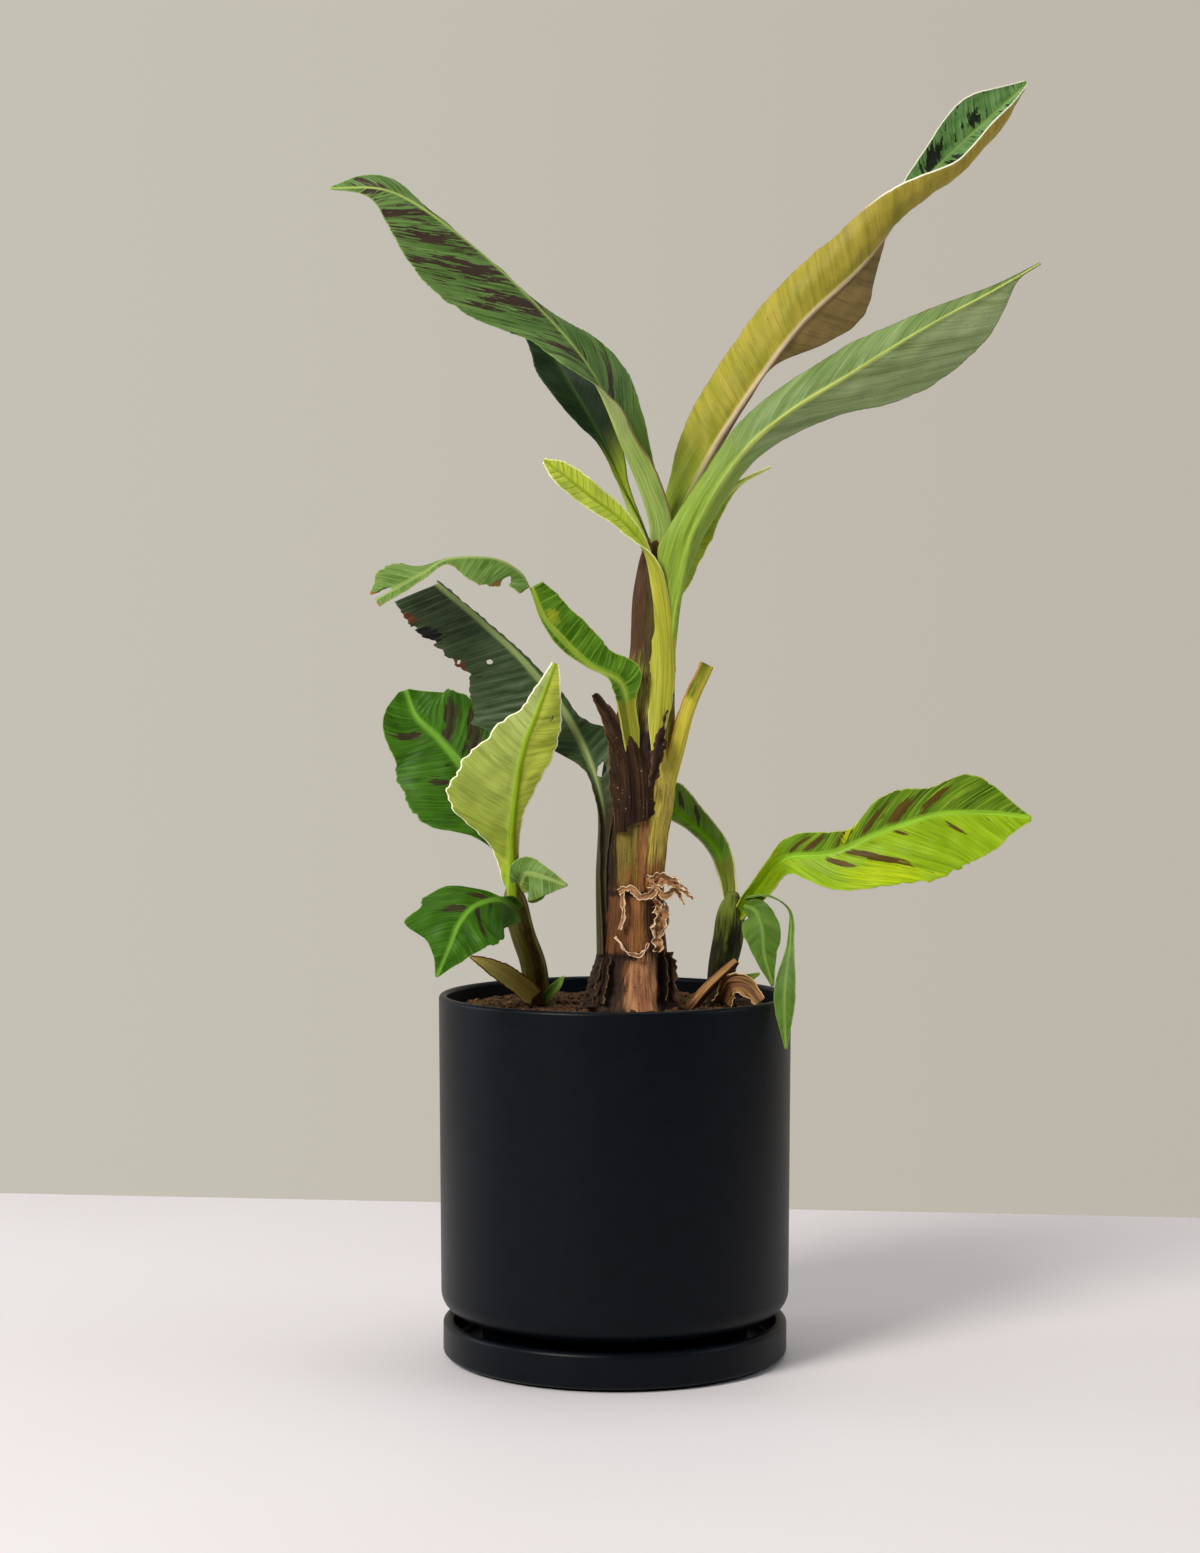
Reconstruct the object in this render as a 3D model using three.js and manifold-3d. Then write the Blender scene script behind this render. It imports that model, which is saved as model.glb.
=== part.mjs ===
// A potted banana plant: one main stem with its leaves, a sucker on each side,
// and a dark glazed pot on its saucer. Millimetres, +Z up, +Y away from the
// viewer. The origin is the middle of the saucer's flat underside.
import * as THREE from 'three';
import { mergeVertices } from 'three/addons/utils/BufferGeometryUtils.js';
import Module from 'manifold-3d';

const wasm = await Module();
wasm.setup();

// Driving sizes of the pot and saucer
const GAP = 0.3;
const POT_RADIUS = 130;
const POT_TOP = 267;
const POT_WALL = 6;
const POT_FOOT_RADIUS = 98;
const POT_BELLY_RADIUS = 128.5;
const POT_UNDERSIDE = 33;
const POT_FLOOR = 41;
const SAUCER_RADIUS = 127;
const SAUCER_HEIGHT = 28;
const SAUCER_WALL = 8;
const SAUCER_FLOOR = 8;
const SAUCER_STEP_RADIUS = 120.5;
const SAUCER_STEP = 2;
const SOIL_TOP = 255;
const STEM_FOOT = SOIL_TOP + GAP;
const ROUND_SIDES = 48;

// The room cut round a stem or blade for its neighbours, how thick a blade is
// for its length, and the least it may be
const ROOM = 0.5;
const BLADE_THICKNESS_SHARE = 1 / 95;
const BLADE_LEAST_THICKNESS = 1.3;
const RIB_SWELL = 0.9;

const COLOURS = {
  glaze: 0x1b222c,
  soil: 0x4a3423,
  bark: 0x8a5f3c,
  greenStem: 0x4c5a2c,
  upperGreen: 0x4f8a2b,
  darkGreen: 0x22482a,
  brightGreen: 0x7fb52a,
  underside: 0x7d9150,
  yellowUnderside: 0xa3a244,
  paleUnderside: 0xb9c46e,
  dried: 0x3a2820,
  paper: 0xa87a55,
  straw: 0xc2a956,
};

// Blades. Each is a midrib through a few points, from its base to its tip, with
// lists spread evenly along it. `turn` is where the upper face looks, in degrees
// about the midrib: 0 to the front, 90 to the right as one looks along with the
// tip up, 180 to the back. `left` and `right` are the half widths, `fold` the
// angle by which a half stands up at the midrib, `curl` how far it turns in on
// its way to the margin, `wave` the ruffle as height, count and start, and
// `sweep` how far the side veins run on towards the tip.
const BLADES = [
  {
    name: 'leaf_right',
    colour: 'underside',
    path: [[37, -10, 500], [45, -18, 560], [59, -22, 610], [91, -26, 661], [126, -30, 692],
      [177, -38, 723], [223, -44, 751], [269, -48, 776], [305, -46, 797]],
    turn: [-125, -150, -160, -160, -165, -165, -165, -165, -165],
    left: [8, 11, 14, 17, 20, 22, 24, 24, 24, 29, 40, 45, 43, 33, 18, 3, 1],
    right: [8, 9, 12, 21, 17, 15, 17, 20, 21, 21, 21, 17, 13, 8, 4, 2, 1],
    foldLeft: [20, 20, 20, 20, 15, 10, 10, 5, 0],
    foldRight: [20, 10, 10, 20, 20, 20, 20, 5, 0],
    curlLeft: [50, 70, 50, 50, 35, 20, 20, 10, 0],
    curlRight: [50, 40, 40, 45, 40, 30, 30, 10, 0],
    sweep: 0.2,
  },
  {
    name: 'leaf_top_left',
    colour: 'upperGreen',
    path: [[30, 0, 582], [28, -7, 619], [6, -28, 672], [-20, -50, 723], [-60, -70, 768],
      [-108, -88, 809], [-156, -100, 838], [-199, -106, 840]],
    turn: [95, 92, 75, 50, 50, 50, 35, 30],
    left: [14, 16, 16, 17, 14, 23, 31, 27, 40, 46, 42, 30, 17, 5, 1],
    right: [14, 15, 16, 18, 25, 29, 26, 20, 22, 26, 20, 7, 12, 10, 1],
    foldLeft: [20, 20, 30, 20, -20, -25, -10, 0],
    foldRight: [20, 20, 30, 10, -30, -35, 0, 0],
    curlLeft: [70, 70, 50, -10, -15, -10, 0, 0],
    curlRight: [70, 60, 30, -20, -15, -10, 0, 0],
    sweep: 0.4,
  },
  {
    name: 'leaf_top_right_rolled',
    colour: 'yellowUnderside',
    path: [[36, 6, 585], [47, 10, 620], [68, 22, 662], [97, 36, 708], [140, 52, 766], [192, 66, 818],
      [240, 76, 883], [314, 80, 953]],
    turn: [-140, -148, -155, -158, -160, -164, -168, -165, -158, -140, -112, -45, 0, 0, 0],
    left: [9, 9, 9, 9, 8, 6, 4, 4, 25, 30, 13, 10, 15, 24, 3],
    right: [10, 12, 15, 20, 28, 33, 37, 38, 37, 35, 32, 38, 42, 38, 2],
    foldLeft: [30, 20, 15, 10, -5, -30, 0, 10],
    foldRight: [30, 20, 10, 5, 10, 10, 0, 10],
    curlLeft: [60, 50, 40, 20, 10, 0, 20, 10],
    curlRight: [60, 60, 60, 60, 60, 65, 70, 70, 70, 75, 90, 140, 150, 150, 120],
    sweep: 0.25,
  },
  {
    name: 'leaf_behind_left',
    colour: 'darkGreen',
    path: [[29, 12, 565], [22, 16, 598], [7, 30, 641], [-9, 44, 678], [-30, 56, 716],
      [-52, 68, 753], [-78, 78, 789]],
    turn: [60, 60, 20, 0, 0, 10, 20],
    left: [6, 6, 6, 6, 6, 4, 5, 12, 16, 18, 13, 8, 1],
    right: [6, 6, 5, 4, 5, 11, 15, 17, 18, 18, 14, 8, 1],
    foldLeft: [40, 40, 30, 20, 15, 10, 0],
    foldRight: [40, 40, 30, 20, 15, 10, 0],
    curlLeft: [60, 60, 40, 0, 0, 0, 0],
    curlRight: [60, 60, 40, 0, 0, 0, 0],
    sweep: 0.4,
  },
  {
    name: 'leaf_front_small',
    colour: 'brightGreen',
    path: [[29, -31, 441], [32, -24, 480], [33, -20, 520], [29, -19, 560], [22, -24, 592],
      [5, -36, 613], [-18, -50, 630], [-38, -62, 645], [-51, -68, 654]],
    turn: [175, 170, 165, 130, 70, 30, 20, 20, 30],
    left: [2, 9, 12, 10, 9, 9, 10, 10, 2],
    right: [2, 9, 12, 10, 5, 8, 10, 9, 2],
    foldLeft: [0, 5, 10, 20, 20, 10, 10, 10, 0],
    foldRight: [0, 5, 10, 20, 20, 10, 20, 10, 0],
    curlLeft: [10, 30, 30, 40, 30, 0, 0, 0, 0],
    curlRight: [10, 30, 30, 40, 30, 10, 10, 10, 0],
    wave: [1.5, 5, 0],
    sweep: 0.2,
  },
  {
    name: 'leaf_behind_right_small',
    colour: 'brightGreen',
    path: [[38, 12, 548], [52, 28, 586], [68, 42, 617], [91, 52, 644], [118, 60, 660]],
    turn: [-160, -170, -170, -150, -120],
    left: [8, 12, 10, 2.5, 1],
    right: [9, 14, 12, 4, 1],
    foldLeft: [30, 10, 5, 0, 0],
    foldRight: [30, 20, 10, 0, 0],
    curlLeft: [40, 20, 0, 0, 0],
    curlRight: [40, 20, 0, 0, 0],
    wave: [1.5, 4, 0],
    sweep: 0.1,
  },
  {
    name: 'arching_leaf_inner',
    colour: 'upperGreen',
    path: [[12, -26, 446], [8, -27, 474], [3, -30, 497], [-21, -35, 511], [-49, -38, 540], [-61, -40, 565]],
    turn: [25, 20, 20, 20, 20, 20],
    left: [6, 8, 8, 9, 10, 2, 3, 6, 4, 2, 1],
    right: [6, 8, 8, 9, 18, 16, 20, 21, 19, 17, 10],
    foldLeft: [10, 15, 10, 0, 0, 0],
    foldRight: [10, 15, 10, 10, 10, 10],
    curlLeft: [30, 30, 20, 0, 0, 0],
    curlRight: [30, 30, 20, 10, 0, 0],
    sweep: 0,
  },
  {
    name: 'arching_leaf_outer',
    colour: 'upperGreen',
    path: [[-61.4, -40, 565.6], [-69, -43, 577], [-88, -50, 586], [-120, -58, 585], [-139, -64, 573],
      [-171, -70, 555]],
    turn: [90, 90, 90, 90, 50, 40],
    left: [14, 16, 14, 24, 24, 19, 6, 5, 6, 8, 8],
    right: [5, 7, 8, 8, 8, 8, 8, 15, 26, 24, 9],
    foldLeft: [-40, -60, -60, -60, 0, 0],
    foldRight: [-10, -10, -10, 0, 0, 0],
    curlLeft: [0, -10, -10, 0, 0, 0],
    curlRight: [0, 0, 0, 0, 0, 0],
    sweep: 0.2,
  },
  {
    name: 'leaf_dark_left',
    colour: 'darkGreen',
    path: [[-10, -14, 296], [-11, -14, 352], [-11, -15, 410], [-31, -12, 465], [-64, -10, 509],
      [-96, -16, 540], [-129, -28, 568]],
    turn: [50, 30, 10, 0, 0, 5, 10],
    left: [5, 5, 5, 6, 6, 10, 60, 54, 41, 37, 37, 36, 30],
    right: [5, 5, 5, 6, 13, 25, 10, 8, 6, 6, 7, 7, 6],
    foldLeft: [40, 40, 40, -5, -10, -15, -15],
    foldRight: [40, 40, 20, -20, -40, -60, -60],
    curlLeft: [40, 40, 20, 0, 0, 0, 0],
    curlRight: [20, 20, 0, -20, -20, -10, 0],
    sweep: 0.5,
  },
  {
    name: 'cut_petiole',
    colour: 'paleUnderside',
    path: [[37, -12, 405], [48, -16, 445], [57, -14, 478], [70, -10, 508]],
    turn: [-120, -110, -100, -90],
    left: [5, 10, 10, 10],
    right: [5, 10, 10, 10],
    foldLeft: [20, 30, 30, 30],
    foldRight: [20, 30, 30, 30],
    curlLeft: [40, 60, 60, 60],
    curlRight: [40, 60, 60, 60],
    sweep: 0,
  },
  {
    name: 'dried_sheath',
    colour: 'dried',
    path: [[14, -27, 388], [13, -30, 418], [8, -30, 448], [-3, -25, 470], [-15, -17, 488]],
    turn: [180, 180, 185, 195, 200],
    left: [22, 24, 14, 7, 3],
    right: [16, 18, 14, 7, 3],
    foldLeft: [0, 0, 0, 0, 0],
    foldRight: [0, 0, 0, 0, 0],
    curlLeft: [55, 60, 50, 60, 60],
    curlRight: [40, 45, 40, 60, 60],
    sweep: 0,
  },
  {
    name: 'papery_curl',
    colour: 'paper',
    path: [[24, -19, 350], [38, -25, 353], [49, -28, 347], [57, -29, 339]],
    turn: [0, 20, 50, 60],
    left: [6, 8, 6, 2],
    right: [6, 6, 5, 2],
    foldLeft: [10, 10, 10, 0],
    foldRight: [10, 10, 10, 0],
    curlLeft: [30, 60, 60, 40],
    curlRight: [30, 60, 60, 40],
    sweep: 0,
  },
  {
    name: 'papery_strand',
    colour: 'paper',
    path: [[29, -15, 338], [34, -23, 327], [30, -26, 313], [32, -25, 300]],
    turn: [20, 0, -20, 20],
    left: [3, 5, 5, 3],
    right: [3, 5, 4, 3],
    foldLeft: [10, 10, 10, 10],
    foldRight: [10, 10, 10, 10],
    curlLeft: [30, 50, 50, 30],
    curlRight: [30, 50, 50, 30],
    sweep: 0,
  },
  {
    name: 'left_sucker_pale_leaf',
    colour: 'paleUnderside',
    path: [[-76, 10, 336], [-76, -2, 373], [-74, -18, 403], [-67, -34, 445], [-57, -42, 473], [-43, -46, 510]],
    turn: [180, 180, 180, 180, 180, 180],
    left: [7, 6, 9, 23, 20, 3],
    right: [7, 18, 50, 30, 13, 3],
    foldLeft: [40, 20, 10, 10, 10, 0],
    foldRight: [40, 10, 5, 10, 10, 0],
    curlLeft: [40, 20, 10, 20, 30, 20],
    curlRight: [40, 10, 0, 10, 20, 20],
    wave: [1, 5, 0],
    sweep: 0.1,
  },
  {
    name: 'left_sucker_broad_leaf',
    colour: 'upperGreen',
    path: [[-74, 24, 340], [-86, 24, 387], [-111, 28, 429], [-131, 32, 454], [-149, 34, 471], [-157, 36, 491]],
    turn: [10, 10, 5, 0, 5, 20],
    left: [6, 7, 24, 49, 50, 46, 41, 34, 27, 18, 6],
    right: [6, 8, 14, 26, 36, 38, 38, 34, 30, 22, 3],
    foldLeft: [40, 20, 10, 10, 5, 0],
    foldRight: [40, 20, 5, 0, 5, 0],
    curlLeft: [40, 10, 0, 0, 0, 0],
    curlRight: [40, 10, 0, 0, 0, 0],
    wave: [1, 3, 0],
    sweep: 0.1,
  },
  {
    name: 'left_sucker_small_leaf',
    colour: 'underside',
    path: [[-71, 6, 346], [-66, -4, 356], [-53, -12, 354], [-35, -18, 348]],
    turn: [-10, 0, 0, 0],
    left: [6, 12, 8, 1],
    right: [7, 24, 17, 1],
    foldLeft: [20, 0, 0, 0],
    foldRight: [20, 0, 0, 0],
    curlLeft: [20, 0, 0, 0],
    curlRight: [20, 0, 0, 0],
    sweep: 0,
  },
  {
    name: 'left_sucker_drooping_leaf',
    colour: 'upperGreen',
    path: [[-71, 10, 326], [-84, -12, 337], [-102, -30, 334], [-113, -42, 322], [-120, -48, 305],
      [-129, -52, 284]],
    turn: [30, 30, 20, 10, 0, 0],
    left: [8, 28, 32, 30, 16, 1],
    right: [6, 7, 3, 14, 29, 33, 31, 37, 18, 7, 1],
    foldLeft: [20, 0, -10, 0, 0, 0],
    foldRight: [20, -10, -20, 0, 0, 0],
    curlLeft: [20, 0, 0, 0, 0, 0],
    curlRight: [20, 0, 0, 0, 0, 0],
    sweep: 0.1,
  },
  {
    name: 'right_sucker_bright_leaf',
    colour: 'brightGreen',
    path: [[93, 12, 322], [108, 4, 347], [125, -10, 367], [158, -24, 372], [196, -34, 389],
      [234, -42, 401], [270, -46, 402], [300, -48, 399]],
    turn: [-40, -30, -20, -10, -5, -5, -10, -10],
    left: [7, 8, 7, 7, 8, 16, 17, 15, 12, 24, 24, 20, 27, 23, 16, 8, 1],
    right: [7, 12, 14, 32, 46, 39, 23, 3],
    foldLeft: [40, 30, 20, 10, 10, 5, 0, 0],
    foldRight: [30, 10, 10, 10, 5, 0, 0, 0],
    curlLeft: [40, 20, 10, 0, 0, 0, 0, 0],
    curlRight: [20, 10, 10, 0, 0, 0, 0, 0],
    wave: [1, 3, 0],
    sweep: 0.4,
  },
  {
    name: 'right_sucker_back_leaf',
    colour: 'darkGreen',
    path: [[86, 30, 318], [84, 38, 349], [77, 44, 372], [60, 50, 389], [42, 54, 404], [23, 58, 423]],
    turn: [20, 10, 0, 0, 0, 0],
    left: [6, 7, 7, 6, 9, 2],
    right: [6, 8, 10, 14, 18, 2],
    foldLeft: [30, 20, 10, 10, 10, 0],
    foldRight: [30, 20, 10, 10, 10, 0],
    curlLeft: [30, 10, 0, 0, 0, 0],
    curlRight: [30, 10, 0, 0, 0, 0],
    sweep: 0.3,
  },
  {
    name: 'right_sucker_hanging_leaf',
    colour: 'darkGreen',
    path: [[96, 6, 331], [104, -12, 328], [108, -24, 314], [109, -28, 298], [115, -30, 275]],
    turn: [180, 180, 180, 180, 180],
    left: [3, 12, 14, 8, 1],
    right: [3, 10, 13, 9, 1],
    foldLeft: [0, 0, 0, 0, 0],
    foldRight: [0, 0, 0, 0, 0],
    curlLeft: [0, 0, 0, 0, 0],
    curlRight: [0, 0, 0, 0, 0],
    sweep: 0.2,
  },
  {
    name: 'right_sucker_long_leaf',
    colour: 'darkGreen',
    path: [[97, 10, 337], [112, -18, 340], [126, -38, 331], [126, -56, 309], [121, -67, 273], [122, -69, 234]],
    turn: [90, 90, 80, 40, 20, 10],
    left: [3, 4, 4, 3, 8, 1],
    right: [3, 4, 4, 3, 8, 1],
    foldLeft: [0, 0, 0, 0, 0, 0],
    foldRight: [0, 0, 0, 0, 0, 0],
    curlLeft: [0, 0, 0, 0, 0, 0],
    curlRight: [0, 0, 0, 0, 0, 0],
    sweep: 0.2,
  },
  {
    name: 'left_straw_bract',
    colour: 'straw',
    path: [[-62, 22, 260], [-78, 12, 277], [-94, 4, 288], [-107, 0, 294]],
    turn: [30, 20, 10, 0],
    left: [10, 11, 6, 1],
    right: [10, 9, 5, 1],
    foldLeft: [20, 20, 10, 0],
    foldRight: [20, 20, 10, 0],
    curlLeft: [30, 30, 20, 0],
    curlRight: [30, 30, 20, 0],
    sweep: 0,
  },
  {
    name: 'left_green_bract',
    colour: 'darkGreen',
    path: [[-52, 26, 259], [-44, 18, 268], [-38, 12, 278]],
    turn: [-30, -30, -30],
    left: [5, 5, 1],
    right: [5, 5, 1],
    foldLeft: [20, 20, 0],
    foldRight: [20, 20, 0],
    curlLeft: [30, 30, 0],
    curlRight: [30, 30, 0],
    sweep: 0,
  },
  {
    name: 'right_dry_bract',
    colour: 'paper',
    path: [[80, 12, 260], [86, 4, 272], [97, -4, 272], [107, -8, 261]],
    turn: [10, 0, -10, -10],
    left: [9, 11, 8, 4],
    right: [9, 9, 8, 4],
    foldLeft: [20, 20, 10, 0],
    foldRight: [20, 20, 10, 0],
    curlLeft: [30, 30, 30, 20],
    curlRight: [30, 30, 30, 20],
    sweep: 0,
  },
  {
    name: 'right_green_tip',
    colour: 'darkGreen',
    path: [[85, 19, 266], [95, 11, 275], [107, 4, 281]],
    turn: [0, 0, 0],
    left: [4, 4, 1],
    right: [4, 4, 1],
    foldLeft: [10, 10, 0],
    foldRight: [10, 10, 0],
    curlLeft: [20, 20, 0],
    curlRight: [20, 20, 0],
    sweep: 0,
  },
];

// Round stems: points up the middle and a radius at each. `lobes` is how much
// the overlapping leaf sheaths swell the round section, as a share of it.
const STEMS = [
  {
    name: 'main_stem',
    colour: 'bark',
    path: [[9, 2, STEM_FOOT], [10, 2, 275], [12, 1, 300], [13, 0, 335], [15, 0, 380], [18, 0, 415], [21, 0, 445],
      [25, 0, 480], [28, 0, 520], [29, 0, 560], [31, 1, 592], [33, 2, 606]],
    radius: [35, 30, 25.5, 23, 24, 27, 25, 20, 16.5, 15.5, 11, 4],
    lobes: 0.05,
    sides: 24,
  },
  {
    name: 'left_sucker_stem',
    colour: 'greenStem',
    path: [[-58, 32, STEM_FOOT], [-61, 29, 285], [-68, 23, 308], [-74, 16, 332], [-76, 13, 348]],
    radius: [10, 9.5, 9, 9, 4],
    lobes: 0.04,
    sides: 16,
  },
  {
    name: 'right_sucker_stem',
    colour: 'greenStem',
    path: [[79, 28, STEM_FOOT], [80, 27, 280], [85, 23, 305], [87, 17, 326], [88, 12, 340]],
    radius: [10.5, 10.5, 11, 10, 4],
    lobes: 0.04,
    sides: 16,
  },
  {
    name: 'dry_stick',
    colour: 'paper',
    path: [[55, 4, STEM_FOOT], [66, 2, 268], [78, 0, 280], [90, -1, 291]],
    radius: [4, 3.6, 3.4, 2.6],
    lobes: 0.1,
    sides: 8,
  },
];

// Catmull-Rom through values spread evenly over 0 to 1, straight beyond its ends
function along(values, t) {
  const last = values.length - 1;
  const at = Math.min(Math.max(t, 0), 1) * last;
  const i = Math.min(Math.floor(at), last - 1);
  const f = at - i;
  const p1 = values[i];
  const p2 = values[i + 1];
  const p0 = i > 0 ? values[i - 1] : 2 * p1 - p2;
  const p3 = i + 2 <= last ? values[i + 2] : 2 * p2 - p1;
  const a = (p2 - p0) / 2;
  const b = (p3 - p1) / 2;
  return ((2 * (p1 - p2) + a + b) * f + (3 * (p2 - p1) - 2 * a - b)) * f * f + a * f + p1;
}

function pathPoint(path, t) {
  return new THREE.Vector3(...[0, 1, 2].map((axis) => along(path.map((p) => p[axis]), t)));
}

function pathTangent(path, t) {
  const step = 1e-3;
  const ahead = pathPoint(path, Math.min(t + step, 1));
  return ahead.sub(pathPoint(path, Math.max(t - step, 0))).normalize();
}

function pathLength(path) {
  let length = 0;
  for (let i = 1; i <= 60; i += 1) {
    length += pathPoint(path, i / 60).distanceTo(pathPoint(path, (i - 1) / 60));
  }
  return length;
}

// Across the midrib at t: its place, its direction, where the upper face looks
// and the right-hand side
function midribFrame(blade, t) {
  const centre = pathPoint(blade.path, t);
  const tangent = pathTangent(blade.path, t);
  const front = new THREE.Vector3(0, -1, 0);
  front.addScaledVector(tangent, -front.dot(tangent)).normalize();
  const side = new THREE.Vector3().crossVectors(tangent, front);
  const turn = THREE.MathUtils.degToRad(along(blade.turn, t));
  const up = front.multiplyScalar(Math.cos(turn)).addScaledVector(side, Math.sin(turn));
  const right = new THREE.Vector3().crossVectors(tangent, up);
  return { centre, tangent, up, right };
}

// A point of the blade at t along it and s across it, -1 to 1 from the left
// margin to the right, with the direction that the upper face looks in there
function bladePoint(blade, t, s, grow) {
  const { centre, tangent, up, right } = midribFrame(blade, t);
  const sign = s < 0 ? -1 : 1;
  const share = Math.abs(s);
  const width = Math.max(along(s < 0 ? blade.left : blade.right, t), 1);
  const fold = THREE.MathUtils.degToRad(along(s < 0 ? blade.foldLeft : blade.foldRight, t));
  let curl = THREE.MathUtils.degToRad(along(s < 0 ? blade.curlLeft : blade.curlRight, t));
  if (Math.abs(curl) < 1e-3) {
    curl = 1e-3;
  }
  const angle = fold + curl * share;
  let x = (width * (Math.sin(angle) - Math.sin(fold))) / curl;
  let y = (width * (Math.cos(fold) - Math.cos(angle))) / curl;
  const [height, count, start] = blade.wave ?? [0, 0, 0];
  const phase = 2 * Math.PI * (count * t + start + (s > 0 ? 0.37 : 0));
  const ruffle = height * Math.sin(phase) * share ** 2 * Math.min(1, width / 15);
  x += -ruffle * Math.sin(angle) + grow * share ** 4 * Math.cos(angle);
  y += ruffle * Math.cos(angle) + grow * share ** 4 * Math.sin(angle);
  const point = centre.addScaledVector(right, sign * x).addScaledVector(up, y);
  point.addScaledVector(tangent, blade.sweep * width * share * Math.min(1, width / 25));
  point.addScaledVector(tangent, t === 0 ? -grow : t === 1 ? grow : 0);
  const normal = right.multiplyScalar(-sign * Math.sin(angle)).addScaledVector(up, Math.cos(angle));
  return { point, normal };
}

// A closed blade: an upper and a lower grid joined round the edge. `grow` puts
// the same blade that much further out on all sides, to cut room for it.
function bladeSolid(blade, grow = 0) {
  const length = pathLength(blade.path);
  const stations = Math.max(7, Math.min(18, Math.round(length / 19)));
  const columns = 8;
  const thickness = Math.max(BLADE_LEAST_THICKNESS, length * BLADE_THICKNESS_SHARE);
  const positions = [];
  for (const face of [1, -1]) {
    for (let i = 0; i <= stations; i += 1) {
      for (let j = 0; j <= columns; j += 1) {
        const s = (2 * j) / columns - 1;
        const { point, normal } = bladePoint(blade, i / stations, s, grow);
        const swell = face < 0 ? RIB_SWELL * (1 - Math.abs(s)) ** 4 : 0;
        const out = (thickness / 2) * (1 + swell) + grow;
        positions.push(...point.addScaledVector(normal, face * out).toArray());
      }
    }
  }
  const row = columns + 1;
  const lower = (stations + 1) * row;
  const index = [];
  const quad = (a, b, c, d) => index.push(a, b, c, a, c, d);
  for (let i = 0; i < stations; i += 1) {
    for (let j = 0; j < columns; j += 1) {
      const a = i * row + j;
      quad(a, a + 1, a + row + 1, a + row);
      quad(lower + a, lower + a + row, lower + a + row + 1, lower + a + 1);
    }
    const left = i * row;
    const right = i * row + columns;
    quad(left, left + row, lower + left + row, lower + left);
    quad(right, lower + right, lower + right + row, right + row);
  }
  for (let j = 0; j < columns; j += 1) {
    const end = stations * row + j;
    quad(j, lower + j, lower + j + 1, j + 1);
    quad(end, end + 1, lower + end + 1, lower + end);
  }
  return toManifold(positions, index);
}

// A closed round stem on a flat foot
function stemSolid(stem, grow = 0) {
  const stations = Math.max(8, Math.round(pathLength(stem.path) / 18));
  const positions = [];
  for (let i = 0; i <= stations; i += 1) {
    const t = i / stations;
    const centre = pathPoint(stem.path, t);
    const tangent = pathTangent(stem.path, t);
    const front = new THREE.Vector3(0, -1, 0);
    front.addScaledVector(tangent, -front.dot(tangent)).normalize();
    const side = new THREE.Vector3().crossVectors(tangent, front);
    for (let k = 0; k < stem.sides; k += 1) {
      const angle = (2 * Math.PI * k) / stem.sides;
      const lobe = 1 + stem.lobes * Math.cos(3 * angle + 5 * t) + 0.5 * stem.lobes * Math.cos(5 * angle - 7 * t);
      const radius = along(stem.radius, t) * lobe + grow;
      const point = centre.clone().addScaledVector(side, radius * Math.cos(angle));
      point.addScaledVector(front, -radius * Math.sin(angle));
      if (i === 0) {
        point.z = STEM_FOOT - grow;
      } else {
        point.addScaledVector(tangent, t === 1 ? grow : 0);
      }
      positions.push(...point.toArray());
    }
  }
  const foot = positions.length / 3;
  const footPoint = pathPoint(stem.path, 0);
  positions.push(footPoint.x, footPoint.y, STEM_FOOT - grow);
  positions.push(...pathPoint(stem.path, 1).addScaledVector(pathTangent(stem.path, 1), grow).toArray());
  const index = [];
  for (let k = 0; k < stem.sides; k += 1) {
    const next = (k + 1) % stem.sides;
    for (let i = 0; i < stations; i += 1) {
      const a = i * stem.sides + k;
      const b = i * stem.sides + next;
      index.push(a, b, b + stem.sides, a, b + stem.sides, a + stem.sides);
    }
    const top = stations * stem.sides;
    index.push(foot, next, k);
    index.push(foot + 1, top + k, top + next);
  }
  return toManifold(positions, index);
}

function toManifold(positions, index) {
  const mesh = new wasm.Mesh({
    numProp: 3,
    vertProperties: new Float32Array(positions),
    triVerts: new Uint32Array(index),
  });
  mesh.merge();
  return new wasm.Manifold(mesh);
}

// What is left of a solid once room is cut in it for the others, as its one
// largest piece
function withoutThe(solid, others) {
  let left = solid;
  for (const other of others) {
    left = left.subtract(other);
  }
  const pieces = left.decompose();
  pieces.sort((a, b) => b.volume() - a.volume());
  return pieces[0];
}

function toGeometry(solid) {
  const mesh = solid.getMesh();
  const positions = [];
  for (let i = 0; i < mesh.numVert; i += 1) {
    const start = i * mesh.numProp;
    positions.push(...mesh.vertProperties.slice(start, start + 3));
  }
  const geometry = new THREE.BufferGeometry();
  geometry.setAttribute('position', new THREE.Float32BufferAttribute(positions, 3));
  geometry.setIndex(Array.from(mesh.triVerts));
  return geometry;
}

// A body of revolution about Z from points as radius and height; a rounded
// corner is an arc of a few points
function turned(profile) {
  const geometry = new THREE.LatheGeometry(profile.map(([r, z]) => new THREE.Vector2(r, z)), ROUND_SIDES);
  geometry.rotateX(Math.PI / 2);
  geometry.deleteAttribute('normal');
  geometry.deleteAttribute('uv');
  return mergeVertices(geometry, 1e-3);
}

function arc(centreR, centreZ, radius, fromDegrees, toDegrees, steps) {
  return Array.from({ length: steps + 1 }, (_, k) => {
    const angle = THREE.MathUtils.degToRad(fromDegrees + ((toDegrees - fromDegrees) * k) / steps);
    return [centreR + radius * Math.cos(angle), centreZ + radius * Math.sin(angle)];
  });
}

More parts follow.
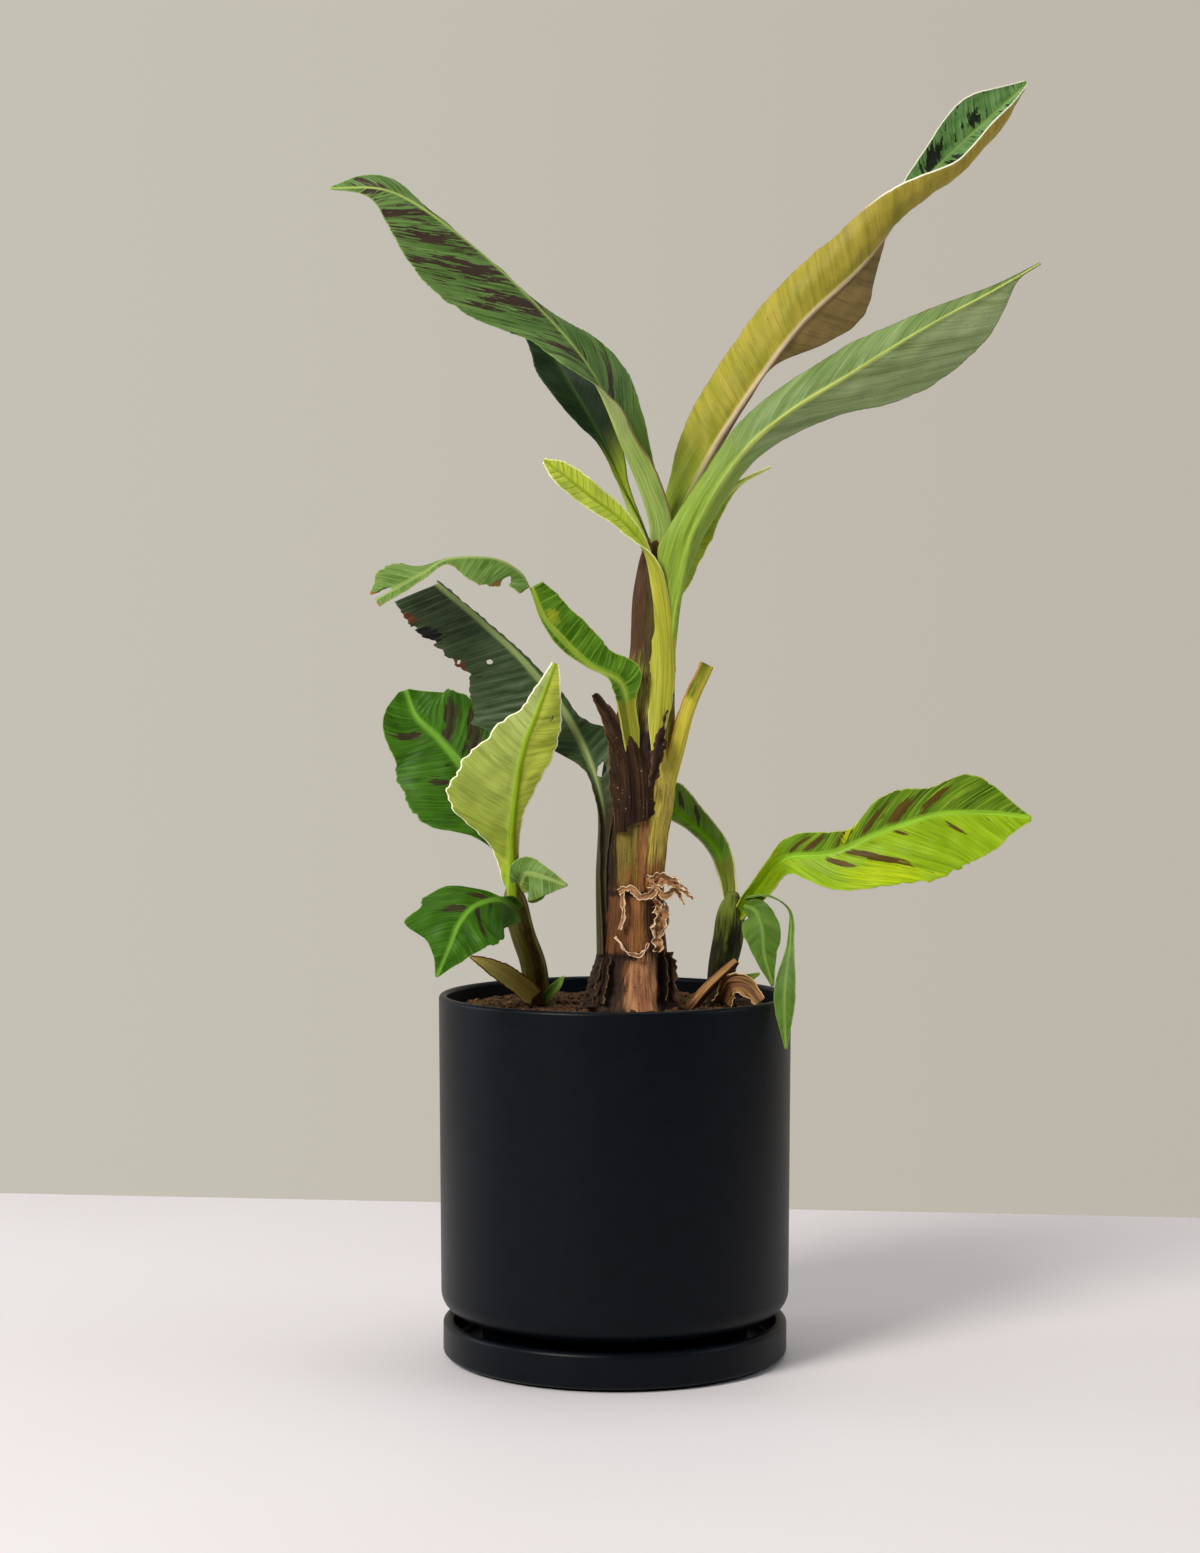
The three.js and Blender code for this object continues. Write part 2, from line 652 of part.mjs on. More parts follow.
function saucerGeometry() {
  const rim = SAUCER_WALL / 2;
  const inside = SAUCER_RADIUS - SAUCER_WALL;
  return turned([
    [0, 0],
    [SAUCER_STEP_RADIUS, 0],
    [SAUCER_STEP_RADIUS, SAUCER_STEP],
    ...arc(SAUCER_RADIUS - 4, SAUCER_STEP + 4, 4, -90, 0, 3),
    ...arc(SAUCER_RADIUS - rim, SAUCER_HEIGHT - rim, rim, 0, 180, 6),
    ...arc(inside - 3, SAUCER_FLOOR + 3, 3, 0, -90, 2),
    [0, SAUCER_FLOOR],
  ]);
}

function potGeometry() {
  const foot = SAUCER_FLOOR + GAP;
  const lip = POT_WALL / 2;
  const inside = POT_RADIUS - POT_WALL;
  const belly = 16;
  return turned([
    [0, foot],
    [POT_FOOT_RADIUS, foot],
    [POT_FOOT_RADIUS, POT_UNDERSIDE],
    ...arc(POT_BELLY_RADIUS - belly, POT_UNDERSIDE + belly, belly, -90, 0, 4),
    ...arc(POT_RADIUS - lip, POT_TOP - lip, lip, 0, 180, 6),
    ...arc(inside - 10, POT_FLOOR + 10, 10, 0, -90, 3),
    [0, POT_FLOOR],
  ]);
}

function soilGeometry() {
  const radius = POT_RADIUS - POT_WALL - GAP;
  return turned([
    [0, POT_FLOOR + GAP],
    ...arc(radius - 10, POT_FLOOR + GAP + 10, 10, -90, 0, 3),
    [radius, SOIL_TOP],
    [0, SOIL_TOP],
  ]);
}

const plant = new THREE.Group();

function add(name, geometry, colour, roughness) {
  const material = new THREE.MeshStandardMaterial({ color: COLOURS[colour], roughness, metalness: 0 });
  const mesh = new THREE.Mesh(geometry, material);
  mesh.name = name;
  plant.add(mesh);
}

add('saucer', saucerGeometry(), 'glaze', 0.45);
add('pot', potGeometry(), 'glaze', 0.45);
add('soil', soilGeometry(), 'soil', 0.95);

// Stems come first, and each later piece is cut clear of the soil and of the
// pieces before it
const taken = [wasm.Manifold.cylinder(STEM_FOOT, POT_RADIUS - POT_WALL, -1, ROUND_SIDES)];
for (const stem of STEMS) {
  add(stem.name, toGeometry(withoutThe(stemSolid(stem), taken)), stem.colour, 0.8);
  taken.push(stemSolid(stem, ROOM), stemSolid(stem));
}
for (const blade of BLADES) {
  add(blade.name, toGeometry(withoutThe(bladeSolid(blade), taken)), blade.colour, 0.6);
  taken.push(bladeSolid(blade, ROOM), bladeSolid(blade));
}

export default plant;
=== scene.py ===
"""The looks of a young banana plant in a dark glazed pot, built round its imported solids."""

import math
from dataclasses import dataclass
from functools import cache

import bpy
import numpy as np
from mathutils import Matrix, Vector


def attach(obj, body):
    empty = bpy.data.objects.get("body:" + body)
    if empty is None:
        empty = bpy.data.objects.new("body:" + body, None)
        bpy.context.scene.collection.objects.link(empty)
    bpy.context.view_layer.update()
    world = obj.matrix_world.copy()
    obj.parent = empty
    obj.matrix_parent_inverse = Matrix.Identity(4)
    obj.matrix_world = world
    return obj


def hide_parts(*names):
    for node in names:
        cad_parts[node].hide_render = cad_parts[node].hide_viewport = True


bl_info = {
    "name": "Potted banana plant",
    "version": (1, 0, 0),
    "blender": (4, 5, 0),
    "location": "3D View > Sidebar > Banana",
    "description": "Leaves, stem, soil, pot and stage of a young banana plant",
    "category": "Object",
}

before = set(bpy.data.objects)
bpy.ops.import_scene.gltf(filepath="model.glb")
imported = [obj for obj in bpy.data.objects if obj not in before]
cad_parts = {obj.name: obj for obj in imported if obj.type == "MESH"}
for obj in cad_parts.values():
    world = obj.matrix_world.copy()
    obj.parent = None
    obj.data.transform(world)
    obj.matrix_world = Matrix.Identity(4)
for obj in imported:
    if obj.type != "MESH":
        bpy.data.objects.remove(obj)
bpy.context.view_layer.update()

MM = 0.001
BODY = "root"
TURN = 2 * math.pi

# The plant's own sizes, in millimetres, as its solids have them
POT_RADIUS = 130
POT_TOP = 267
POT_WALL = 6
POT_FOOT_RADIUS = 98
POT_BELLY_RADIUS = 128.5
POT_UNDERSIDE = 33
POT_FLOOR = 41
SAUCER_RADIUS = 127
SAUCER_HEIGHT = 28
SAUCER_WALL = 8
SAUCER_FLOOR = 8
SAUCER_STEP_RADIUS = 120.5
SAUCER_STEP = 2
SOIL_TOP = 255
GAP = 0.3
STEM_FOOT = SOIL_TOP + GAP
LEAST_WIDTH = 0.8  # of half a blade, at its tip


@dataclass
class Blade:
    """A blade's numbers, in millimetres and degrees. Lists are spread evenly from its base
    to its tip. The right half is like the left where it has no numbers of its own."""

    slot: str
    upper: str  # the finishes of its two faces
    under: str
    path: list  # points of the midrib
    turn: list  # where the upper face looks, about the midrib from the front
    left: list  # half widths
    right: list = None
    fold: tuple = (0, 0)  # by how much a half stands up at the midrib
    fold_right: tuple = None
    curl: tuple = (0, 0)  # how far a half turns in on its way to the margin
    curl_right: tuple = None
    wave: tuple = (0, 0, 0)  # the ruffle's height, count and start
    sweep: float = 0  # how far the side veins run on, as a share of the half width
    rib: tuple = (0, 0, 2, 2)  # the midrib's depth at base and tip, and its half width there
    thick: tuple = (0.8, 0.6)  # the petiole and the lamina
    veins: tuple = (2.5, 0)  # spacing and height of the side veins
    slant: float = 0  # their run towards the tip for each millimetre across
    stalk: tuple = (0, 0.02)  # where the petiole ends, and over how much it fades
    ragged: float = 0.3  # how uneven the margin is
    crumple: tuple = (0, 9, 7)  # height, and wave lengths along and across
    holes: tuple = ()  # places along and across, and half sizes along and across
    pale: tuple = ()  # marks: places along and across, half sizes along midrib and vein
    blotch: tuple = ()
    scorch: tuple = ()

    def __post_init__(self):
        self.right = self.right or self.left
        self.fold_right = self.fold_right or self.fold
        self.curl_right = self.curl_right or self.curl

    def reach(self, t, s):
        """The half width at t, on the side that s is on."""
        return float(along(self.left if s < 0 else self.right, t))


MARKS = ("pale", "blotch", "scorch")

# As in the solids down to sweep; what follows it is for the looks
BLADES = {
    "leaf_right": Blade(
        "underside", "olive_upper", "grey_green_under",
        [[37, -10, 500], [45, -18, 560], [59, -22, 610], [91, -26, 661], [126, -30, 692],
         [177, -38, 723], [223, -44, 751], [269, -48, 776], [305, -46, 797]],
        [-125, -150, -160, -160, -165, -165, -165, -165, -165],
        [8, 11, 14, 17, 20, 22, 24, 24, 24, 29, 40, 45, 43, 33, 18, 3, 1],
        [8, 9, 12, 21, 17, 15, 17, 20, 21, 21, 21, 17, 13, 8, 4, 2, 1],
        fold=[20, 20, 20, 20, 15, 10, 10, 5, 0], fold_right=[20, 10, 10, 20, 20, 20, 20, 5, 0],
        curl=[50, 70, 50, 50, 35, 20, 20, 10, 0], curl_right=[50, 40, 40, 45, 40, 30, 30, 10, 0],
        sweep=0.2, rib=[4, 0.8, 2.4, 0.5], thick=[3.2, 0.9], veins=[6, 0.2], slant=1.6,
        stalk=[0.36, 0.2], ragged=0.008),
    "leaf_top_left": Blade(
        "upper_green", "blotched_upper", "pale_grey_under",
        [[30, 0, 582], [28, -7, 619], [6, -28, 672], [-20, -50, 723], [-60, -70, 768],
         [-108, -88, 809], [-156, -100, 838], [-199, -106, 840]],
        [95, 92, 75, 50, 50, 50, 35, 30],
        [14, 16, 16, 17, 14, 23, 31, 27, 40, 46, 42, 30, 17, 5, 1],
        [14, 15, 16, 18, 25, 29, 26, 20, 22, 26, 20, 7, 12, 10, 1],
        fold=[20, 20, 30, 20, -20, -25, -10, 0], fold_right=[20, 20, 30, 10, -30, -35, 0, 0],
        curl=[70, 70, 50, -10, -15, -10, 0, 0], curl_right=[70, 60, 30, -20, -15, -10, 0, 0],
        sweep=0.4, rib=[3.6, 0.8, 2.2, 0.7], thick=[3, 0.9], veins=[6.5, 0.35], slant=1.0,
        stalk=[0.30, 0.12], ragged=0.012,
        blotch=[(0.46, -0.30, 8, 13), (0.57, -0.22, 13, 18), (0.65, -0.25, 13, 18),
                (0.73, -0.30, 10, 17), (0.70, -0.66, 6, 10), (0.81, -0.45, 10, 14),
                (0.60, -0.72, 5, 9), (0.90, -0.20, 9, 10), (0.38, 0.5, 5, 8)]),
    "leaf_top_right_rolled": Blade(
        "yellow_underside", "mottled_upper", "golden_under",
        [[36, 6, 585], [47, 10, 620], [68, 22, 662], [97, 36, 708], [140, 52, 766],
         [192, 66, 818], [240, 76, 883], [314, 80, 953]],
        [-140, -148, -155, -158, -160, -164, -168, -165, -158, -140, -112, -45, 0, 0, 0],
        [9, 9, 9, 9, 8, 6, 4, 4, 25, 30, 13, 10, 15, 24, 3],
        [10, 12, 15, 20, 28, 33, 37, 38, 37, 35, 32, 38, 42, 38, 2],
        fold=[30, 20, 15, 10, -5, -30, 0, 10], fold_right=[30, 20, 10, 5, 10, 10, 0, 10],
        curl=[60, 50, 40, 20, 10, 0, 20, 10],
        curl_right=[60, 60, 60, 60, 60, 65, 70, 70, 70, 75, 90, 140, 150, 150, 120],
        sweep=0.25, rib=[3.4, 0.7, 1.9, 1.1], thick=[2.6, 0.8], veins=[4, 0.16], slant=0.3,
        stalk=[0.26, 0.2], ragged=0.008,
        blotch=[(0.87, -0.4, 12, 9), (0.93, -0.3, 7, 6), (0.89, 0.25, 10, 8)]),
    "leaf_behind_left": Blade(
        "dark_green", "shade_darkened_upper", "deep_under",
        [[29, 12, 565], [22, 16, 598], [7, 30, 641], [-9, 44, 678], [-30, 56, 716],
         [-52, 68, 753], [-78, 78, 789]],
        [60, 60, 20, 0, 0, 10, 20],
        [6, 6, 6, 6, 6, 4, 5, 12, 16, 18, 13, 8, 1], [6, 6, 5, 4, 5, 11, 15, 17, 18, 18, 14, 8, 1],
        fold=[40, 40, 30, 20, 15, 10, 0], curl=[60, 60, 40, 0, 0, 0, 0],
        sweep=0.4, rib=[3, 0.7, 3, 1.1], thick=[2.4, 0.9], veins=[6, 0.3], slant=0.6,
        stalk=[0.44, 0.2], ragged=0.02),
    "leaf_front_small": Blade(
        "bright_green", "lime_upper", "sheath_under",
        [[29, -31, 441], [32, -24, 480], [33, -20, 520], [29, -19, 560], [22, -24, 592],
         [5, -36, 613], [-18, -50, 630], [-38, -62, 645], [-51, -68, 654]],
        [175, 170, 165, 130, 70, 30, 20, 20, 30],
        [2, 9, 12, 10, 9, 9, 10, 10, 2], [2, 9, 12, 10, 5, 8, 10, 9, 2],
        fold=[0, 5, 10, 20, 20, 10, 10, 10, 0], fold_right=[0, 5, 10, 20, 20, 10, 20, 10, 0],
        curl=[10, 30, 30, 40, 30, 0, 0, 0, 0], curl_right=[10, 30, 30, 40, 30, 10, 10, 10, 0],
        wave=[1.5, 5, 0], sweep=0.2, rib=[1.4, 0.6, 2.2, 0.9], thick=[2.0, 0.8],
        veins=[4.5, 0.35], slant=0.6, stalk=[0.52, 0.1], ragged=0.03),
    "leaf_behind_right_small": Blade(
        "bright_green", "lime_upper", "lime_under",
        [[38, 12, 548], [52, 28, 586], [68, 42, 617], [91, 52, 644], [118, 60, 660]],
        [-160, -170, -170, -150, -120], [8, 12, 10, 2.5, 1], [9, 14, 12, 4, 1],
        fold=[30, 10, 5, 0, 0], fold_right=[30, 20, 10, 0, 0], curl=[40, 20, 0, 0, 0],
        wave=[1.5, 4, 0], sweep=0.1, rib=[1.6, 0.6, 2, 0.8], thick=[1.6, 0.8], veins=[4, 0.4],
        slant=0.4, stalk=[0.1, 0.1], ragged=0.04),
    "arching_leaf_inner": Blade(
        "upper_green", "grass_upper", "stalk_under",
        [[12, -26, 446], [8, -27, 474], [3, -30, 497], [-21, -35, 511], [-49, -38, 540],
         [-61, -40, 565]],
        [25, 20, 20, 20, 20, 20],
        [6, 8, 8, 9, 10, 2, 3, 6, 4, 2, 1], [6, 8, 8, 9, 18, 16, 20, 21, 19, 17, 10],
        fold=[10, 15, 10, 0, 0, 0], fold_right=[10, 15, 10, 10, 10, 10],
        curl=[30, 30, 20, 0, 0, 0], curl_right=[30, 30, 20, 10, 0, 0],
        rib=[2.4, 1.2, 3, 1.8], thick=[2.4, 0.9], veins=[7, 0.4], slant=0.1,
        stalk=[0.28, 0.08], ragged=0.02, pale=[(0.80, 0.3, 8, 5)]),
    "arching_leaf_outer": Blade(
        "upper_green", "grey_green_upper", "pale_grey_under",
        [[-61.4, -40, 565.6], [-69, -43, 577], [-88, -50, 586], [-120, -58, 585],
         [-139, -64, 573], [-171, -70, 555]],
        [90, 90, 90, 90, 50, 40],
        [14, 16, 14, 24, 24, 19, 6, 5, 6, 8, 8], [5, 7, 8, 8, 8, 8, 8, 15, 26, 24, 9],
        fold=[-40, -60, -60, -60, 0, 0], fold_right=[-10, -10, -10, 0, 0, 0],
        curl=[0, -10, -10, 0, 0, 0], curl_right=[0, 0],
        sweep=0.2, rib=[2, 0.8, 2.2, 1.4], thick=[1.6, 0.9], veins=[6, 0.4], slant=0.4,
        ragged=0.05, scorch=[(0.3, -0.85, 4, 5), (1.0, -0.8, 2.4, 4), (1.0, 0.9, 2.4, 4)],
        holes=[(0.22, -1.0, 4, 7), (1.0, 0.35, 15, 3)]),
    "leaf_dark_left": Blade(
        "dark_green", "bottle_upper", "bottle_under",
        [[-10, -14, 296], [-11, -14, 352], [-11, -15, 410], [-31, -12, 465],
         [-64, -10, 509], [-96, -16, 540], [-129, -28, 568]],
        [50, 30, 10, 0, 0, 5, 10],
        [5, 5, 5, 6, 6, 10, 60, 54, 41, 37, 37, 36, 30],
        [5, 5, 5, 6, 13, 25, 10, 8, 6, 6, 7, 7, 6],
        fold=[40, 40, 40, -5, -10, -15, -15], fold_right=[40, 40, 20, -20, -40, -60, -60],
        curl=[40, 40, 20, 0, 0, 0, 0], curl_right=[20, 20, 0, -20, -20, -10, 0],
        sweep=0.5, rib=[2.4, 1.2, 2.6, 2.0], thick=[2.2, 1.0], veins=[8.5, 0.75],
        stalk=[0.34, 0.14], ragged=0.03, blotch=[(0.86, -0.9, 9, 8)],
        scorch=[(0.94, -0.95, 6, 5), (0.73, -1.0, 9, 5)],
        holes=[(0.712, -0.36, 2.0, 1.5), (0.708, -0.50, 2.6, 2.0), (0.74, -0.93, 2.2, 2),
               (0.69, -1.05, 4, 5), (0.83, -1.03, 2, 4), (0.90, -1.04, 2, 3),
               (0.42, -0.55, 2, 2), (0.385, 0.3, 4.5, 3.6)]),
    "cut_petiole": Blade(
        "pale_underside", "cut_stalk_inner", "cut_stalk_outer",
        [[37, -12, 405], [48, -16, 445], [57, -14, 478], [70, -10, 508]],
        [-120, -110, -100, -90], [5, 10, 10, 10],
        fold=[20, 30, 30, 30], curl=[40, 60, 60, 60], rib=[1.2, 1.2, 4, 4],
        thick=[3.4, 3.0], stalk=[0.72, 0.06], ragged=0.03),
    "dried_sheath": Blade(
        "dried", "rotten_sheath", "rotten_sheath",
        [[14, -27, 388], [13, -30, 418], [8, -30, 448], [-3, -25, 470], [-15, -17, 488]],
        [180, 180, 185, 195, 200], [22, 24, 14, 7, 3], [16, 18, 14, 7, 3],
        curl=[55, 60, 50, 60, 60], curl_right=[40, 45, 40, 60, 60], thick=[1.2, 1.0],
        ragged=0.05, crumple=(0.6, 60, 3), holes=[(0, -0.9, 13, 22)]),
    "papery_curl": Blade(
        "paper", "papery_peel", "papery_peel",
        [[24, -19, 350], [38, -25, 353], [49, -28, 347], [57, -29, 339]],
        [0, 20, 50, 60], [6, 8, 6, 2], [6, 6, 5, 2],
        fold=[10, 10, 10, 0], curl=[30, 60, 60, 40], ragged=0.25, crumple=(1.6, 9, 7)),
    "papery_strand": Blade(
        "paper", "papery_peel", "papery_peel",
        [[29, -15, 338], [34, -23, 327], [30, -26, 313], [32, -25, 300]],
        [20, 0, -20, 20], [3, 5, 5, 3], [3, 5, 4, 3],
        fold=[10, 10], curl=[30, 50, 50, 30], crumple=(1.6, 9, 7)),
    "left_sucker_pale_leaf": Blade(
        "pale_underside", "grass_upper", "pale_lime_under",
        [[-76, 10, 336], [-76, -2, 373], [-74, -18, 403], [-67, -34, 445],
         [-57, -42, 473], [-43, -46, 510]],
        [180, 180], [7, 6, 9, 23, 20, 3], [7, 18, 50, 30, 13, 3],
        fold=[40, 20, 10, 10, 10, 0], fold_right=[40, 10, 5, 10, 10, 0],
        curl=[40, 20, 10, 20, 30, 20], curl_right=[40, 10, 0, 10, 20, 20], wave=[1, 5, 0],
        sweep=0.1, rib=[3.2, 0.6, 3.2, 1.0], thick=[2.2, 0.8], veins=[6, 0.25], slant=0.25,
        stalk=[0.1, 0.1], ragged=0.03, holes=[(0.80, -0.62, 2.6, 1.3)]),
    "left_sucker_broad_leaf": Blade(
        "upper_green", "blotched_grass_upper", "deep_under",
        [[-74, 24, 340], [-86, 24, 387], [-111, 28, 429], [-131, 32, 454],
         [-149, 34, 471], [-157, 36, 491]],
        [10, 10, 5, 0, 5, 20],
        [6, 7, 24, 49, 50, 46, 41, 34, 27, 18, 6], [6, 8, 14, 26, 36, 38, 38, 34, 30, 22, 3],
        fold=[40, 20, 10, 10, 5, 0], fold_right=[40, 20, 5, 0, 5, 0],
        curl=[40, 10, 0, 0, 0, 0], wave=[1, 3, 0],
        sweep=0.1, rib=[3, 0.8, 4.4, 1.6], thick=[2.2, 0.9], veins=[6, 0.35], slant=0.4,
        stalk=[0.08, 0.1], ragged=0.02,
        blotch=[(0.42, -0.42, 4, 8), (0.30, -0.10, 5, 9), (0.46, 0.45, 6, 20),
                (0.38, 0.60, 4, 16), (0.62, 0.40, 5, 18), (0.74, -0.5, 3, 10),
                (0.54, 0.66, 4, 14)]),
    "left_sucker_small_leaf": Blade(
        "underside", "grey_green_upper", "lime_under",
        [[-71, 6, 346], [-66, -4, 356], [-53, -12, 354], [-35, -18, 348]],
        [-10, 0, 0, 0], [6, 12, 8, 1], [7, 24, 17, 1], fold=[20, 0, 0, 0], curl=[20, 0, 0, 0],
        rib=[1.6, 0.5, 2, 0.9], thick=[1.6, 0.8], veins=[4, 0.3], slant=0.3,
        stalk=[0.05, 0.1], ragged=0.03),
    "left_sucker_drooping_leaf": Blade(
        "upper_green", "blotched_grass_upper", "lime_under",
        [[-71, 10, 326], [-84, -12, 337], [-102, -30, 334], [-113, -42, 322],
         [-120, -48, 305], [-129, -52, 284]],
        [30, 30, 20, 10, 0, 0],
        [8, 28, 32, 30, 16, 1], [6, 7, 3, 14, 29, 33, 31, 37, 18, 7, 1],
        fold=[20, 0, -10, 0, 0, 0], fold_right=[20, -10, -20, 0, 0, 0],
        curl=[20, 0, 0, 0, 0, 0], sweep=0.1, rib=[2, 0.5, 2.4, 1.0], thick=[1.8, 0.8],
        veins=[5, 0.4], slant=0.5, stalk=[0.05, 0.1], ragged=0.02,
        blotch=[(0.42, -0.2, 4, 8), (0.3, 0.25, 5, 9), (0.5, 0.3, 4, 8), (0.52, -0.5, 3, 8)]),
    "right_sucker_bright_leaf": Blade(
        "bright_green", "spring_upper", "stalk_lime_under",
        [[93, 12, 322], [108, 4, 347], [125, -10, 367], [158, -24, 372], [196, -34, 389],
         [234, -42, 401], [270, -46, 402], [300, -48, 399]],
        [-40, -30, -20, -10, -5, -5, -10, -10],
        [7, 8, 7, 7, 8, 16, 17, 15, 12, 24, 24, 20, 27, 23, 16, 8, 1],
        [7, 12, 14, 32, 46, 39, 23, 3],
        fold=[40, 30, 20, 10, 10, 5, 0, 0], fold_right=[30, 10, 10, 10, 5, 0, 0, 0],
        curl=[40, 20, 10, 0, 0, 0, 0, 0], curl_right=[20, 10, 10, 0, 0, 0, 0, 0],
        wave=[1, 3, 0], sweep=0.4, rib=[3, 0.7, 3, 1.4], thick=[2.2, 0.9], veins=[6, 0.3],
        slant=0.8, stalk=[0.28, 0.06], ragged=0.02,
        blotch=[(0.43, 0.28, 4, 8), (0.51, 0.40, 5, 19), (0.54, -0.45, 6, 8),
                (0.61, -0.42, 7, 9), (0.69, -0.5, 4, 10), (0.74, 0.3, 3, 6),
                (0.38, -0.6, 3, 7), (0.33, -0.5, 3, 7), (0.60, 0.12, 3, 5),
                (0.46, -0.55, 3, 9)],
        pale=[(0.50, 0.75, 24, 16), (0.48, -0.8, 8, 8)]),
    "right_sucker_back_leaf": Blade(
        "dark_green", "blotched_back_upper", "deep_under",
        [[86, 30, 318], [84, 38, 349], [77, 44, 372], [60, 50, 389], [42, 54, 404],
         [23, 58, 423]],
        [20, 10, 0, 0, 0, 0], [6, 7, 7, 6, 9, 2], [6, 8, 10, 14, 18, 2],
        fold=[30, 20, 10, 10, 10, 0], curl=[30, 10, 0, 0, 0, 0],
        sweep=0.3, rib=[2.4, 0.7, 2.6, 1.2], thick=[2, 0.9], veins=[5, 0.3], slant=0.7,
        stalk=[0.32, 0.1], ragged=0.02, blotch=[(0.60, 0.5, 4, 6), (0.76, 0.5, 4, 6)]),
    "right_sucker_hanging_leaf": Blade(
        "dark_green", "moss_upper", "moss_under",
        [[96, 6, 331], [104, -12, 328], [108, -24, 314], [109, -28, 298], [115, -30, 275]],
        [180, 180], [3, 12, 14, 8, 1], [3, 10, 13, 9, 1], sweep=0.2,
        rib=[1, 0.4, 1.4, 0.8], thick=[1.2, 0.8], veins=[4, 0.3], slant=0.6, ragged=0.02),
    "right_sucker_long_leaf": Blade(
        "dark_green", "moss_upper", "moss_under",
        [[97, 10, 337], [112, -18, 340], [126, -38, 331], [126, -56, 309],
         [121, -67, 273], [122, -69, 234]],
        [90, 90, 80, 40, 20, 10], [3, 4, 4, 3, 8, 1], sweep=0.2,
        rib=[0.8, 0.4, 1.2, 0.8], thick=[1.0, 0.8], veins=[4, 0.3], slant=0.8, ragged=0.03),
    "left_straw_bract": Blade(
        "straw", "straw_bract", "straw_bract",
        [[-62, 22, 260], [-78, 12, 277], [-94, 4, 288], [-107, 0, 294]],
        [30, 20, 10, 0], [10, 11, 6, 1], [10, 9, 5, 1], fold=[20, 20, 10, 0],
        curl=[30, 30, 20, 0], rib=[0.6, 0.3, 3, 1], thick=[1.6, 1.0], ragged=0.05),
    "left_green_bract": Blade(
        "dark_green", "moss_upper", "moss_under", [[-52, 26, 259], [-44, 18, 268], [-38, 12, 278]],
        [-30, -30], [5, 5, 1], fold=[20, 20, 0], curl=[30, 30, 0], rib=[0.6, 0.3, 2, 1],
        thick=[1.4, 1.0], ragged=0.04),
    "right_dry_bract": Blade(
        "paper", "russet_bract", "russet_bract",
        [[80, 12, 260], [86, 4, 272], [97, -4, 272], [107, -8, 261]],
        [10, 0, -10, -10], [9, 11, 8, 4], [9, 9, 8, 4], fold=[20, 20, 10, 0],
        curl=[30, 30, 30, 20], rib=[0.4, 0.3, 3, 1], thick=[1.4, 1.0], ragged=0.12,
        crumple=(0.6, 40, 3)),
    "right_green_tip": Blade(
        "dark_green", "moss_upper", "moss_under", [[85, 19, 266], [95, 11, 275], [107, 4, 281]],
        [0, 0], [4, 4, 1], fold=[10, 10, 0], curl=[20, 20, 0], rib=[0.4, 0.3, 2, 1],
        thick=[1.2, 0.9], ragged=0.04),
}

CROWN = ("leaf_right", "leaf_top_left", "leaf_top_right_rolled", "leaf_behind_left",
         "leaf_front_small", "leaf_behind_right_small")
LOWER = ("arching_leaf_inner", "arching_leaf_outer", "leaf_dark_left", "cut_petiole")
SUCKERS = [name for name in BLADES if "_sucker_" in name]
DRIED = ("dried_sheath", "papery_curl", "papery_strand", "left_straw_bract",
         "left_green_bract", "right_dry_bract", "right_green_tip")

# Round stems, as in the solids: points up the middle, a radius at each, and how much
# the overlapping leaf sheaths swell the round section, as a share of it
STEMS = {
    "main_stem": {
        "slot": "bark", "finish": "banana_pseudostem", "lobes": 0.05, "fibre": 0.35,
        "path": [[9, 2, STEM_FOOT], [10, 2, 275], [12, 1, 300], [13, 0, 335], [15, 0, 380],
                 [18, 0, 415], [21, 0, 445], [25, 0, 480], [28, 0, 520], [29, 0, 560],
                 [31, 1, 592], [33, 2, 606]],
        "radius": [35, 30, 25.5, 23, 24, 27, 25, 20, 16.5, 15.5, 11, 4],
    },
    "left_sucker_stem": {
        "slot": "green_stem", "finish": "sucker_stem", "lobes": 0.04, "fibre": 0.15,
        "path": [[-58, 32, STEM_FOOT], [-61, 29, 285], [-68, 23, 308], [-74, 16, 332],
                 [-76, 13, 348]],
        "radius": [10, 9.5, 9, 9, 4],
    },
    "right_sucker_stem": {
        "slot": "green_stem", "finish": "sucker_stem", "lobes": 0.04, "fibre": 0.15,
        "path": [[79, 28, STEM_FOOT], [80, 27, 280], [85, 23, 305], [87, 17, 326], [88, 12, 340]],
        "radius": [10.5, 10.5, 11, 10, 4],
    },
    "dry_stick": {
        "slot": "paper", "finish": "dead_stalk", "lobes": 0.1, "fibre": 0.5,
        "path": [[55, 4, STEM_FOOT], [66, 2, 268], [78, 0, 280], [90, -1, 291]],
        "radius": [4, 3.6, 3.4, 2.6],
    },
}
